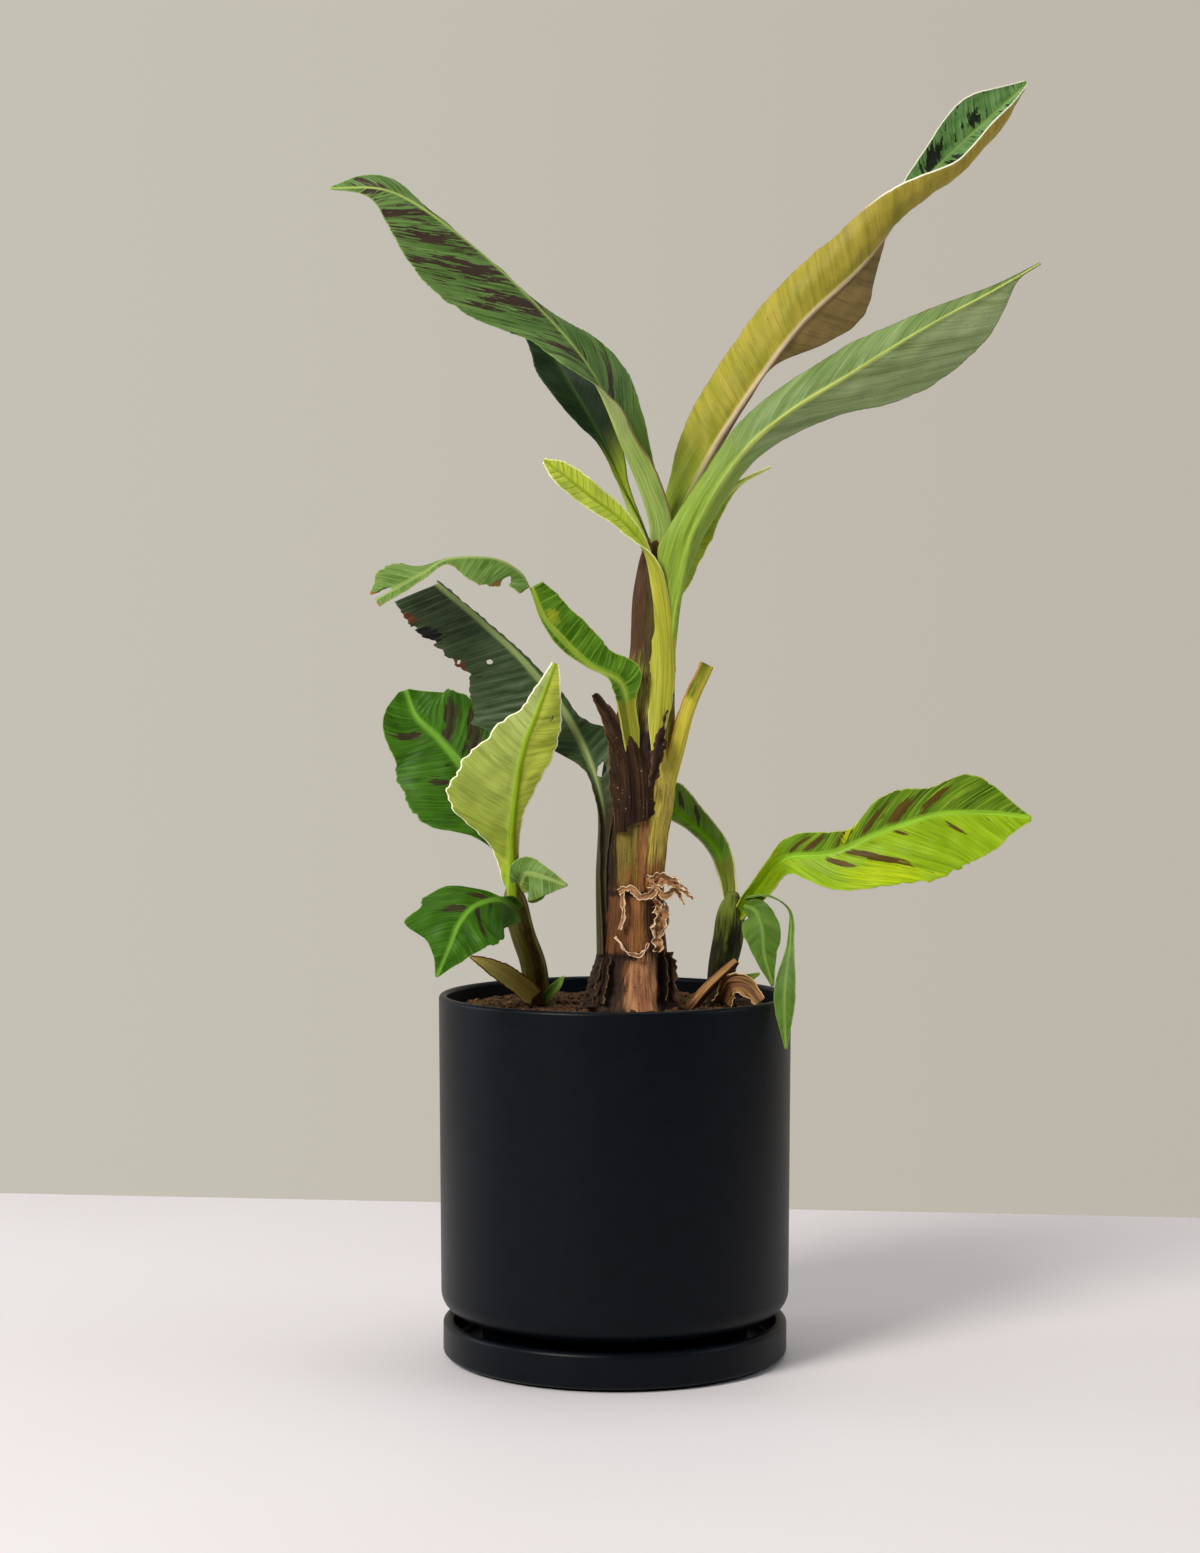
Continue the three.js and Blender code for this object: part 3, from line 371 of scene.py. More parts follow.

# Painted zones of the stems, two of them painted shadow and one a painted highlight: a
# colour, degrees round from the front (to the right is more), heights, how soft the edge
# is in degrees and in millimetres, and how strong
ZONES = {
    "main_stem": ("#7a5230", [
        ("#855e2c", -180, 180, 340, 400, 30, 14, 1.0),
        ("#7c7030", -60, 8, 356, 402, 16, 14, 0.9),
        ("#a9743f", 18, 70, 342, 380, 12, 16, 0.8),
        ("#c2b048", 22, 78, 372, 505, 5, 14, 1.0),
        ("#d0bc5a", 38, 60, 380, 470, 8, 20, 0.6),
        ("#a8684c", 8, 20, 336, 398, 8, 20, 0.6),
        ("#33231a", -90, 20, 398, 470, 8, 5, 1.0),
        ("#8f8a35", -60, 70, 470, 520, 20, 16, 1.0),
        ("#503620", -90, 20, 514, 600, 14, 10, 1.0),
        ("#4a4018", -30, 24, 496, 572, 16, 14, 0.85),
        ("#2a1c13", -110, -34, 250, 430, 14, 8, 0.92),
        ("#6d4526", -50, -4, 296, 344, 10, 6, 0.9),
        ("#9a683c", -6, 24, 298, 342, 6, 6, 0.9),
        ("#3a2417", 24, 70, 296, 338, 8, 6, 0.8),
        ("#261810", -70, -4, 250, 298, 10, 5, 0.9),
        ("#bf8a5e", -2, 46, 250, 296, 5, 4, 1.0),
        ("#a06248", 10, 30, 250, 286, 8, 10, 0.6),
        ("#241710", 46, 95, 250, 298, 8, 6, 1.0),
        # Painted shadow: two thin dark rings under the lips of the torn scars
        ("#1c110b", -56, 40, 339.5, 343.5, 8, 1.4, 0.9),
        ("#1c110b", -50, 16, 294.5, 298.5, 8, 1.4, 0.9)]),
    "left_sucker_stem": ("#6b6124", [
        ("#7f7a34", -60, 0, 270, 360, 20, 14, 0.9),
        ("#4a3418", 4, 40, 255, 320, 14, 14, 0.9),
        # Painted highlight: a narrow pale strip down the stem's right side
        ("#a8a75a", 48, 62, 262, 350, 6, 14, 0.8),
        ("#6e3a22", -60, 60, 250, 268, 30, 10, 0.6)]),
    "right_sucker_stem": ("#332d14", [
        ("#6f7e2a", -180, 180, 310, 350, 30, 22, 1.0),
        ("#141009", -10, 60, 258, 316, 18, 14, 0.85),
        ("#2f3b16", -180, 180, 286, 300, 30, 10, 0.5),
        ("#3f4a1c", 30, 90, 270, 300, 16, 10, 0.5)]),
    "dry_stick": ("#8a5a34", [
        ("#c8985e", -60, 10, 255, 295, 20, 10, 0.9),
        ("#4c2e1a", 20, 120, 255, 295, 20, 10, 0.9)]),
}

# Steps between overlapping sheaths of the main stem: degrees round from the front at
# the lower end, how many degrees they lean per millimetre of height, heights, depth
SHEATH_EDGES = [
    (20, 0.02, 340, 500, 1.1), (-52, 0.0, 262, 430, 1.2), (44, 0.0, 258, 298, 1.0),
    (-6, 0.05, 258, 296, 1.2), (8, -0.1, 500, 600, 1.0), (130, 0.05, 262, 480, 1.2),
    (-140, -0.04, 262, 520, 1.2),
]

# Shreds of torn sheath on the main stem, for the eye alone: a finish, where they face in
# degrees, a path, and half widths along it
SHREDS = [
    ("papery_peel", 0, [[3, -23, 343], [11, -26, 346], [19, -26, 339], [27, -23, 343],
                        [34, -16, 350]], [2.4, 3, 2.4, 3.2, 2]),
    ("papery_peel", 0, [[5, -25, 343], [6, -26, 327], [3, -26, 316]], [1.2, 2.2, 0.8]),
    ("papery_peel", 0, [[0, -25, 311], [9, -28, 300], [18, -28, 297], [25, -25, 306]],
     [0.8, 1.4, 1.6, 0.8]),
    ("papery_peel", 30, [[27, -22, 350], [36, -22, 342], [45, -20, 346], [51, -17, 334]],
     [2, 3.4, 3, 1]),
    ("papery_peel", -40, [[34, -18, 341], [38, -12, 326], [34, -17, 312]], [1.4, 3, 1.4]),
    ("rotten_sheath", 30, [[-5, -23, 296], [-8, -27, 278], [-11, -30, 262]], [3, 5, 6]),
    ("rotten_sheath", -40, [[38, -9, 298], [40, -12, 282], [40, -17, 262]], [4, 6, 7]),
    ("rotten_sheath", 180, [[38, -30, 476], [35, -33, 465], [32, -36, 450], [29, -37, 433],
                            [26, -34, 420]], [0.8, 2, 5, 4.5, 2]),
]

# The finish of each blade face. Its colours are the lamina at base and tip, the side
# veins, the midrib, the petiole and the margin. Some have more: the other half's colour,
# marks and specks, how bold the streaks are, how clear the lines of the side veins, the
# margin's width, strength and start, and how far the blotches break up.
FINISHES = {
    "olive_upper": ("#5c7a33 #66843c #88a05a #b0bf72 #7f9640 #b9c48e", {}),
    "grey_green_under": ("#6a8644 #8d9c6a #a9b48e #b4c068 #86a03c #5b4a2a", {
        "other": "#68853c", "specks": "#4a3c2a", "bold": 0.25, "lines": 0.3}),
    "blotched_upper": ("#436629 #58783c #84a062 #9fb560 #6d8a3c #8fae5c", {
        "blotch": "#44352d", "broken": 4.4}),
    "pale_grey_under": ("#8fa05c #9aa86c #b6c08c #b4c26a #8fa456 #7a3a34", {
        "edge": (1.4, 0.8, -1), "bold": 0.25}),
    "golden_under": ("#a2aa3c #b6a048 #8a7038 #d4bc9c #94a83c #f4eed8", {
        "other": "#85704a", "specks": "#6b4a2a", "edge": (1.5, 1.0, 0.76), "bold": 0.5}),
    "mottled_upper": ("#5c8648 #668e52 #86a472 #8cab66 #33520f #f4eed8", {
        "blotch": "#262c25", "edge": (1.2, 0.9, 0.76), "broken": 4.4}),
    # The leaf at the back on the left: deep green, darkened further by painted shade as it stands
    # in shade behind the crown
    "shade_darkened_upper": ("#15290d #11210b #223c18 #2c4416 #8a9c24 #24401a", {}),
    "deep_under": ("#4c6a34 #4a6434 #6a8450 #8aa04a #8a9c3a #5a7038", {}),
    "lime_upper": ("#cbdc40 #dde864 #7f9a22 #9cb42c #c8d048 #f2f4b4", {
        "bold": 0.4, "lines": 0.9, "edge": (1.3, 0.8, -1)}),
    "lime_under": ("#a4b434 #9cb032 #788c1c #c8d070 #b4c03c #dfe09a", {"bold": 0.6}),
    "sheath_under": ("#a8a83c #bcc840 #c8cc60 #b0b448 #a6a63c #e4e0a8", {"specks": "#3a2c16"}),
    "grass_upper": ("#3f6a0c #365c0a #729a34 #8aa43c #868629 #b8b860", {
        "pale": "#8c9a2c", "lines": 0.6}),
    "stalk_under": ("#7a8a3a #8a9c50 #9aa860 #a4ac4c #83842f #6b4a2a", {"specks": "#2c1c12"}),
    "grey_green_upper": ("#4a701c #64823a #8aa163 #8fa45c #7f8634 #a9ac60", {
        "scorch": "#a0663e"}),
    "bottle_upper": ("#3f5630 #34422c #566648 #8f9f66 #38301f #5a4a34", {
        "scorch": "#6e4232", "blotch": "#1c1d1e", "lines": 0.5, "bold": 0.3}),
    "bottle_under": ("#4a5f34 #46593a #66785a #8c9c62 #3c3424 #5a5a3c", {"scorch": "#6e4232"}),
    "cut_stalk_inner": ("#9aa23a #4c7422 #b4b860 #8fa040 #a9ac3c #d6d29a", {}),
    "cut_stalk_outer": ("#8f9c2c #2c4a08 #b4b048 #c2b446 #c4b848 #b0743c", {
        "specks": "#2a1a10", "edge": (1.6, 0.8, -1)}),
    "rotten_sheath": ("#271a14 #45301f #57402f #271a14 #271a14 #8a6a4c", {"specks": "#a8896c"}),
    "papery_peel": ("#a67c56 #d0a67c #4c3020 #a87a55 #b08a64 #f0d4b0", {
        "specks": "#4a2c1c", "bold": 1.0, "edge": (0.9, 0.8, -1)}),
    "pale_lime_under": ("#a6b82c #a8b478 #868a38 #84a020 #8fac2c #f2eecc", {
        "other": "#c8d458", "edge": (1.5, 0.9, -1), "bold": 0.6}),
    "blotched_grass_upper": ("#30560e #346010 #558428 #6fa038 #5c8a2a #7fa04a", {
        "blotch": "#38331e", "bold": 0.35}),
    "spring_upper": ("#4e780f #3c600c #9aba3c #8fbc38 #74900f #c4cc70", {
        "other": "#90b01a", "blotch": "#5c4818", "pale": "#b4cc1c", "bold": 0.6}),
    "stalk_lime_under": ("#86a426 #8aa82c #a4bc50 #98b43a #7f9c14 #c8cc80", {}),
    "blotched_back_upper": ("#6a9c30 #6fa034 #96b060 #7cbc20 #7f8628 #e0d8a8", {
        "blotch": "#4c5434", "edge": (1.3, 0.9, -1)}),
    "moss_upper": ("#4a6a1e #507022 #688842 #748f40 #4a6e2c #7f9c4c", {
        "bold": 0.25, "lines": 0.2}),
    "moss_under": ("#4e6e20 #567626 #6a8a44 #789444 #54762f #7f9c4c", {
        "bold": 0.25, "lines": 0.2}),
    "straw_bract": ("#f4dc8c #dce07a #c09848 #f0d880 #f4dc8c #8a3a2a", {
        "specks": "#7a5028", "edge": (1.4, 0.9, -1), "bold": 0.4}),
    "russet_bract": ("#8c5c30 #cc9c68 #2e1a10 #7a523c #8c5c30 #e8c090", {
        "specks": "#2c1a12", "bold": 1.0, "edge": (1.0, 0.8, -1)}),
}
DRY = ("rotten_sheath", "papery_peel", "russet_bract", "straw_bract")


# Working out the shapes


def along(values, t):
    """Catmull-Rom through values spread evenly over 0 to 1, straight beyond its ends."""
    values = np.asarray(values, float)
    last = len(values) - 1
    at = np.clip(t, 0, 1) * last
    i = np.minimum(np.floor(at).astype(int), last - 1)
    f = at - i
    if values.ndim == 2:
        f = f[..., None]
    ends = [2 * values[0] - values[1]], values, [2 * values[-1] - values[-2]]
    padded = np.concatenate(ends)
    p0, p1, p2, p3 = (padded[i + k] for k in range(4))
    a, b = (p2 - p0) / 2, (p3 - p1) / 2
    return ((2 * (p1 - p2) + a + b) * f + (3 * (p2 - p1) - 2 * a - b)) * f * f + a * f + p1


def unit(vectors):
    return vectors / np.maximum(np.linalg.norm(vectors, axis=-1, keepdims=True), 1e-12)


def smooth(x, low, high):
    """0 below low, 1 above high, and an S curve between."""
    f = np.clip((x - low) / (high - low), 0, 1)
    return f * f * (3 - 2 * f)


def between(x, low, high, soft):
    """1 between low and high and 0 outside, with edges as wide as soft."""
    rise = smooth(x, low - soft / 2, low + soft / 2)
    return rise * (1 - smooth(x, high - soft / 2, high + soft / 2))


def unevenness(seed, *places, waves=14):
    """A smooth seeded unevenness near -1 to 1: a sum of sine waves of random direction,
    length and start over the places, which are in units of the typical wave."""
    rng = np.random.default_rng(seed)
    total = 0
    for _ in range(waves):
        way = rng.normal(size=len(places))
        way *= rng.uniform(0.6, 2.2) / np.linalg.norm(way)
        phase = sum(w * p for w, p in zip(way, places)) * TURN + rng.uniform(0, 6.28)
        total = total + np.sin(phase)
    return total / math.sqrt(waves)


def path_length(path, t):
    """Millimetres along the path at each t, summed over short straight steps."""
    fine = np.linspace(0, 1, 400)
    steps = np.linalg.norm(np.diff(along(path, fine), axis=0), axis=1)
    return np.interp(t, fine, np.concatenate([[0], np.cumsum(steps)]))


def midrib_frame(path, turn, t):
    """Across the midrib at t: its place, its direction, where the upper face looks and
    the right-hand side, the upper face turned about the midrib from the front."""
    centre = along(path, t)
    tangent = unit(along(path, np.minimum(t + 1e-3, 1)) - along(path, np.maximum(t - 1e-3, 0)))
    front = np.zeros_like(tangent)
    front[..., 1] = -1
    front = unit(front - tangent * np.sum(front * tangent, axis=-1, keepdims=True))
    side = np.cross(tangent, front)
    angle = np.radians(along(turn, t))[..., None]
    up = front * np.cos(angle) + side * np.sin(angle)
    return centre, tangent, up, np.cross(tangent, up)


def blade_place(blade, seed, t, s):
    """A blade's middle surface at t along it and s across it, from -1 at the left margin
    to 1 at the right. Each half starts at the fold angle and bends by the curl on its way
    out, so it is an arc as long as the half width. The ruffle and the sweep of the side
    veins towards the tip are added, and the margin is a little uneven."""
    centre, tangent, up, right = midrib_frame(blade.path, blade.turn, t)
    sign = np.where(s < 0, -1.0, 1.0)
    share = np.abs(s)
    halves = ((blade.left, blade.right), (blade.fold, blade.fold_right),
              (blade.curl, blade.curl_right))
    width, fold, curl = (np.where(s < 0, along(a, t), along(b, t)) for a, b in halves)
    at = path_length(blade.path, t)
    ragged = unevenness(seed, at / 22, sign * 3.0) + 0.6 * unevenness(seed + 1, at / 7, sign * 3.0)
    width = np.maximum(width * (1 + blade.ragged * ragged), LEAST_WIDTH)
    fold, curl = np.radians(fold), np.radians(curl)
    curl = np.where(np.abs(curl) < 1e-3, 1e-3, curl)
    angle = fold + curl * share
    x = width * (np.sin(angle) - np.sin(fold)) / curl
    y = width * (np.cos(fold) - np.cos(angle)) / curl
    height, count, start = blade.wave
    phase = TURN * (count * t + start + np.where(s > 0, 0.37, 0))
    ruffle = height * np.sin(phase) * share**2 * np.minimum(1, width / 15)
    x, y = x - ruffle * np.sin(angle), y + ruffle * np.cos(angle)
    run = blade.sweep * width * share * np.minimum(1, width / 25)
    point = centre + right * (sign * x)[..., None] + up * y[..., None]
    point += tangent * run[..., None]
    normal = right * (-sign * np.sin(angle))[..., None] + up * np.cos(angle)[..., None]
    return point, normal, width, at


def new_piece(name, points, faces, finishes, kinds=None, notes=None):
    """A smooth-shaded mesh object from points in millimetres, arrays of faces, a finish
    for each material slot, each face's slot, and named values at each point."""
    mesh = bpy.data.meshes.new(name)
    sizes = np.concatenate([np.full(len(f), f.shape[1]) for f in faces])
    corners = np.concatenate([np.asarray(f).ravel() for f in faces]).astype(np.int32)
    mesh.vertices.add(len(points))
    mesh.vertices.foreach_set("co", (np.asarray(points) * MM).astype(np.float32).ravel())
    mesh.loops.add(len(corners))
    mesh.loops.foreach_set("vertex_index", corners)
    mesh.polygons.add(len(sizes))
    starts = np.concatenate([[0], np.cumsum(sizes)[:-1]]).astype(np.int32)
    mesh.polygons.foreach_set("loop_start", starts)
    mesh.polygons.foreach_set("use_smooth", np.ones(len(sizes), bool))
    if kinds is not None:
        mesh.polygons.foreach_set("material_index", np.asarray(kinds, np.int32))
    mesh.update(calc_edges=True)
    fields = {1: ("FLOAT", "value"), 3: ("FLOAT_VECTOR", "vector"), 4: ("FLOAT_COLOR", "color")}
    for note, values in (notes or {}).items():
        values = np.asarray(values, np.float32)
        kind, field = fields[values[0].size]
        mesh.attributes.new(note, kind, "POINT").data.foreach_set(field, values.ravel())
    for finish in finishes:
        mesh.materials.append(finish)
    piece = bpy.data.objects.new(name, mesh)
    bpy.context.scene.collection.objects.link(piece)
    return piece


def shell(upper, lower, keep):
    """A closed shell from an upper and a lower grid of points. keep says which cells are
    there; a wall closes the edge of the grid and of each hole. Returns the used points'
    numbers, the faces and each face's side, 0 for the upper and the walls, 1 for the
    lower."""
    rows, columns = upper.shape[:2]
    number = np.arange(rows * columns).reshape(rows, columns)
    a, b = number[:-1, :-1], number[:-1, 1:]
    c, d = number[1:, 1:], number[1:, :-1]
    below = rows * columns
    top = np.stack([a, b, c, d], -1)[keep]
    faces = [top, top[:, ::-1] + below]
    padded = np.pad(keep, 1)
    sides = [(a, b, padded[:-2, 1:-1]), (b, c, padded[1:-1, 2:]),
             (c, d, padded[2:, 1:-1]), (d, a, padded[1:-1, :-2])]
    for p, q, beyond in sides:
        edge = keep & ~beyond
        p, q = p[edge], q[edge]
        faces.append(np.stack([q, p, p + below, q + below], -1))
    face = np.concatenate(faces)
    kinds = np.zeros(len(face), int)
    kinds[len(top): 2 * len(top)] = 1
    used, face = np.unique(face, return_inverse=True)
    return used, face.reshape(-1, 4), kinds


def with_holes(blade, seed, t, s):
    """The grid of t and s with its lines drawn out to the edge of each hole, which is
    round but a little uneven, and the cells that lie in none."""
    keep = np.ones((t.shape[0] - 1, t.shape[1] - 1), bool)
    _, _, width, at = blade_place(blade, seed, t, s)
    fine = np.linspace(0, 1, 400)
    for hole_t, hole_s, half_along, half_across in blade.holes:
        where = path_length(blade.path, hole_t)
        beside = hole_s * blade.reach(hole_t, hole_s)
        x = s * width
        du, dv = (at - where) / half_along, (x - beside) / half_across
        round_it = np.arctan2(dv, du)
        edge = 1 + 0.16 * np.sin(2 * round_it + seed) + 0.1 * np.sin(5 * round_it + 2 * seed)
        e = np.hypot(du, dv) / edge
        inside = e < 1
        keep &= ~(inside[:-1, :-1] & inside[1:, :-1] & inside[:-1, 1:] & inside[1:, 1:])
        pull = inside & (e > 0.02)
        new_at = where + (at - where) / np.where(pull, e, 1)
        new_x = beside + (x - beside) / np.where(pull, e, 1)
        t = np.where(pull, np.interp(new_at, path_length(blade.path, fine), fine), t)
        s = np.where(pull, np.clip(new_x / width, -1, 1), s)
    return t, s, keep


def blade_mesh(name, blade, seed, fineness):
    """A living or dried blade: the middle surface of its solid, thinner towards the
    margin, with a rib below the midrib and a groove above it, side veins as low ridges
    along their own lines, and holes whose edges are drawn smoothly into the grid."""
    length = path_length(blade.path, 1.0)
    widest = max(*blade.left, *blade.right)
    rows = int(np.clip(length / fineness, 24, 210)) + 1
    half = int(np.clip(1.25 * widest / fineness, 10, 34))
    t, s = np.meshgrid(np.linspace(0, 1, rows), np.linspace(-1, 1, 2 * half + 1), indexing="ij")
    t, s, keep = with_holes(blade, seed, t, s)
    point, normal, width, at = blade_place(blade, seed, t, s)
    x = s * width
    share = np.abs(s)
    vein = at - blade.slant * np.abs(x) * (1 + 0.35 * share)
    rib_base, rib_tip, rib_half_base, rib_half_tip = blade.rib
    fade = np.clip(t, 0, 1) ** 0.8
    rib_half = rib_half_base + (rib_half_tip - rib_half_base) * fade
    rib_depth = rib_base + (rib_tip - rib_base) * fade
    rib = np.exp(-((x / rib_half) ** 2))
    stalk_end, stalk_fade = blade.stalk
    stalk = 1 - smooth(t, stalk_end - stalk_fade / 2, stalk_end + stalk_fade / 2 + 1e-6)
    spacing, ridge = blade.veins
    away = smooth(np.abs(x), rib_half, rib_half + 5) * (1 - 0.5 * share**4)
    uneven = 0.7 * unevenness(seed + 2, at / 30, x / 30)
    relief = ridge * np.cos(TURN * vein / spacing + uneven) * away * (1 - 0.8 * stalk)
    relief = relief + 0.5 * unevenness(seed + 3, at / 38, x / 26) * away
    height, run, span = blade.crumple
    relief = relief + height * unevenness(seed + 4, at / run, x / span)
    thick_base, thick_lamina = blade.thick
    thick = thick_lamina + (thick_base - thick_lamina) * stalk
    half_thick = thick / 2 * (1 - 0.55 * share**3)
    groove = 0.35 * rib_depth * np.exp(-((x / (0.7 * rib_half)) ** 2)) * (1 - 0.6 * stalk)
    upper = point + normal * (relief + half_thick - groove)[..., None]
    lower = point + normal * (relief - half_thick - rib_depth * rib)[..., None]
    used, faces, kinds = shell(upper, lower, keep)
    twice = lambda values: np.concatenate([values.ravel(), values.ravel()])[used]
    notes = {
        "veins": np.stack([twice(vein), twice(x), twice(width - np.abs(x))], -1),
        "tint": twice(t), "stalk": twice(stalk), "half": twice(smooth(s, -0.02, 0.02)),
        "rib": twice(np.exp(-((x / (1.15 * rib_half)) ** 4))),
    }
    for mark in MARKS:
        for mark_t, mark_s, half_vein, half_across in getattr(blade, mark):
            beside = mark_s * blade.reach(mark_t, mark_s)
            base = path_length(blade.path, mark_t)
            base = base - blade.slant * abs(beside) * (1 + 0.35 * abs(mark_s))
            close = np.exp(-(((vein - base) / half_vein) ** 2) - ((x - beside) / half_across) ** 2)
            notes[mark] = np.maximum(notes.get(mark, 0), twice(close))
    points = np.concatenate([upper.reshape(-1, 3), lower.reshape(-1, 3)])[used]
    finishes = [leaf_material(blade.upper), leaf_material(blade.under)]
    piece = new_piece(name, points, [faces], finishes, kinds, notes)
    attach(piece, BODY)
    return piece


def paint(zones, round_it, height, seed):
    """Linear colours for points a number of degrees round from the front and at a
    height: each zone is laid over the last with soft uneven edges."""
    base, patches = zones
    coat = np.broadcast_to(linear(base), round_it.shape + (4,)).copy()
    for k, (colour, left, right, low, high, soft_round, soft_high, strength) in enumerate(patches):
        ragged = unevenness(seed + k, round_it / 24, height / 40)
        fine = unevenness(seed + 50 + k, round_it / 5, height / 18)
        r = round_it + soft_round * (0.5 * ragged + 0.35 * fine)
        h = height + soft_high * (0.5 * ragged + 0.5 * unevenness(seed + 90 + k, round_it / 7))
        mask = between(h, low, high, soft_high) * strength
        if right - left < 360:
            mask = mask * between(r, left, right, soft_round)
        coat = coat * (1 - mask[..., None]) + np.array(linear(colour)) * mask[..., None]
    return coat


def tube_faces(rows, around):
    """The faces of a tube of rings, closed by a fan round a last point at each end."""
    number = np.arange(rows * around).reshape(rows, around)
    after = np.roll(number, -1, axis=1)
    walls = np.stack([number[:-1], after[:-1], after[1:], number[1:]], -1).reshape(-1, 4)
    first, last = np.full(around, rows * around), np.full(around, rows * around + 1)
    foot = np.stack([first, after[0], number[0]], -1)
    top = np.stack([last, number[-1], after[-1]], -1)
    return [walls, np.concatenate([foot, top])]


def stem_piece(name, seed, fineness):
    """A stem as a closed tube on a flat foot. Its radius is swollen by two sets of lobes,
    one with three and one with five, as its solid's is, and has upright fibres and low
    steps where one sheath ends over the next. It gets a coat of painted zones."""
    stem = STEMS[name]
    path = stem["path"]
    around = int(np.clip(TURN * max(stem["radius"]) / fineness, 28, 176))
    rows = int(float(path_length(path, 1.0)) / fineness) + 1
    t, angle = np.meshgrid(np.linspace(0, 1, rows), np.arange(around) * TURN / around,
                           indexing="ij")
    centre, _, front, side = midrib_frame(path, [0, 0], t)
    lobe = 1 + stem["lobes"] * (np.cos(3 * angle + 5 * t) + 0.5 * np.cos(5 * angle - 7 * t))
    radius = along(stem["radius"], t) * lobe
    out = side * np.cos(angle)[..., None] - front * np.sin(angle)[..., None]
    height = centre[..., 2]
    round_it = (np.degrees(angle) + 90 + 180) % 360 - 180
    turn = np.radians(round_it)
    grain = unevenness(seed, 2.6 * np.sin(turn), 2.6 * np.cos(turn), height / 90)
    fibre = unevenness(seed + 1, 11 * np.sin(turn), 11 * np.cos(turn), height / 60)
    bumps = stem["fibre"] * (fibre + 0.8 * grain)
    if name == "main_stem":
        for start, lean, low, high, depth in SHEATH_EDGES:
            edge = start + lean * (height - low) + 1.5 * unevenness(seed + 7, height / 30)
            beside = (round_it - edge + 180) % 360 - 180
            step = smooth(beside, 0, 3) * (1 - smooth(beside, 26, 60))
            step *= smooth(height, low - 4, low + 4)
            step *= 1 - smooth(height, high - 8, high + 8)
            bumps = bumps - depth * step
        rough = (1 - smooth(height, 268, 298)) * smooth(-round_it, 15, 40)
        bumps = bumps + rough * (1.3 * unevenness(seed + 9, round_it / 22, height / 9) + 0.8)
    radius = radius + bumps * smooth(1 - t, 0, 0.05)
    points = centre + out * radius[..., None]
    points[0, :, 2] = STEM_FOOT
    ends = np.array([[*along(path, 0.0)[:2], STEM_FOOT], along(path, 1.0)])
    coat = paint(ZONES[name], round_it, height, seed + 20).reshape(-1, 4)
    grain_at = np.stack([np.radians(round_it) * 24, height, 0 * height], -1).reshape(-1, 3)
    notes = {"coat": np.concatenate([coat, coat[:1], coat[-1:]]),
             "grain": np.concatenate([grain_at, grain_at[:1], grain_at[-1:]])}
    points = np.concatenate([points.reshape(-1, 3), ends])
    piece = new_piece(name + "_skin", points, tube_faces(rows, around),
                      [stem_material(stem["finish"])], notes=notes)
    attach(piece, BODY)
    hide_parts(name)


def arc(centre_r, centre_z, radius, start, end, steps):
    """Points of a round corner, from one angle in degrees to another."""
    angle = np.radians(np.linspace(start, end, steps + 1))
    return np.stack([centre_r + radius * np.cos(angle), centre_z + radius * np.sin(angle)], -1)


def turned(name, profile, sides, finish):
    """A body of revolution: the profile of radius and height carried round the Z axis,
    closed by a fan of triangles at each end on the axis."""
    profile = np.concatenate([np.atleast_2d(p) for p in profile]).astype(float)
    angle = np.arange(sides) * TURN / sides
    ring = profile[1:-1]
    points = np.stack([ring[:, :1] * np.cos(angle), ring[:, :1] * np.sin(angle),
                       np.repeat(ring[:, 1:], sides, 1)], -1).reshape(-1, 3)
    points = np.concatenate([points, [[0, 0, profile[0, 1]], [0, 0, profile[-1, 1]]]])
    return new_piece(name, points, tube_faces(len(ring), sides), [finish])


def clods_piece(seed, count, low, high):
    """Crumbs of potting soil: one icosahedron for each, its corners pushed in and out at
    random, flattened, turned and strewn over the soil."""
    rng = np.random.default_rng(seed)
    golden = (1 + math.sqrt(5)) / 2
    corner = unit(np.array([
        [-1, golden, 0], [1, golden, 0], [-1, -golden, 0], [1, -golden, 0],
        [0, -1, golden], [0, 1, golden], [0, -1, -golden], [0, 1, -golden],
        [golden, 0, -1], [golden, 0, 1], [-golden, 0, -1], [-golden, 0, 1]]))
    face = np.array([[0, 11, 5], [0, 5, 1], [0, 1, 7], [0, 7, 10], [0, 10, 11], [1, 5, 9],
                     [5, 11, 4], [11, 10, 2], [10, 7, 6], [7, 1, 8], [3, 9, 4], [3, 4, 2],
                     [3, 2, 6], [3, 6, 8], [3, 8, 9], [4, 9, 5], [2, 4, 11], [6, 2, 10],
                     [8, 6, 7], [9, 8, 1]])
    reach = POT_RADIUS - POT_WALL - 6
    r = reach * np.sqrt(rng.uniform(0, 1, count))
    a = rng.uniform(0, TURN, count)
    size = rng.uniform(low, high, count) * rng.uniform(0.6, 1, count)
    shape = corner[None] * rng.uniform(0.72, 1.2, (count, 12, 1))
    shape = shape * (size[:, None] * np.array([[1.25, 0.9, 0.7]]))[:, None] / 2
    spin = rng.uniform(0, TURN, count)[:, None]
    turned_x = shape[..., 0] * np.cos(spin) - shape[..., 1] * np.sin(spin)
    turned_y = shape[..., 0] * np.sin(spin) + shape[..., 1] * np.cos(spin)
    points = np.stack([turned_x + (r * np.cos(a))[:, None], turned_y + (r * np.sin(a))[:, None],
                       shape[..., 2] + SOIL_TOP + (0.18 * size)[:, None]], -1)
    faces = face[None] + 12 * np.arange(count)[:, None, None]
    shade = np.repeat(rng.uniform(0, 1, count), 12)
    return new_piece("soil_crumbs", points.reshape(-1, 3), [faces.reshape(-1, 3)],
                     [material("bark_chip_compost")], notes={"shade": shade})


# Finishes


def linear(colour):
    """A linear colour with full alpha from an sRGB hex value."""
    value = [int(colour[k: k + 2], 16) / 255 for k in (1, 3, 5)]
    return (*(v / 12.92 if v <= 0.04045 else ((v + 0.055) / 1.055) ** 2.4 for v in value), 1)


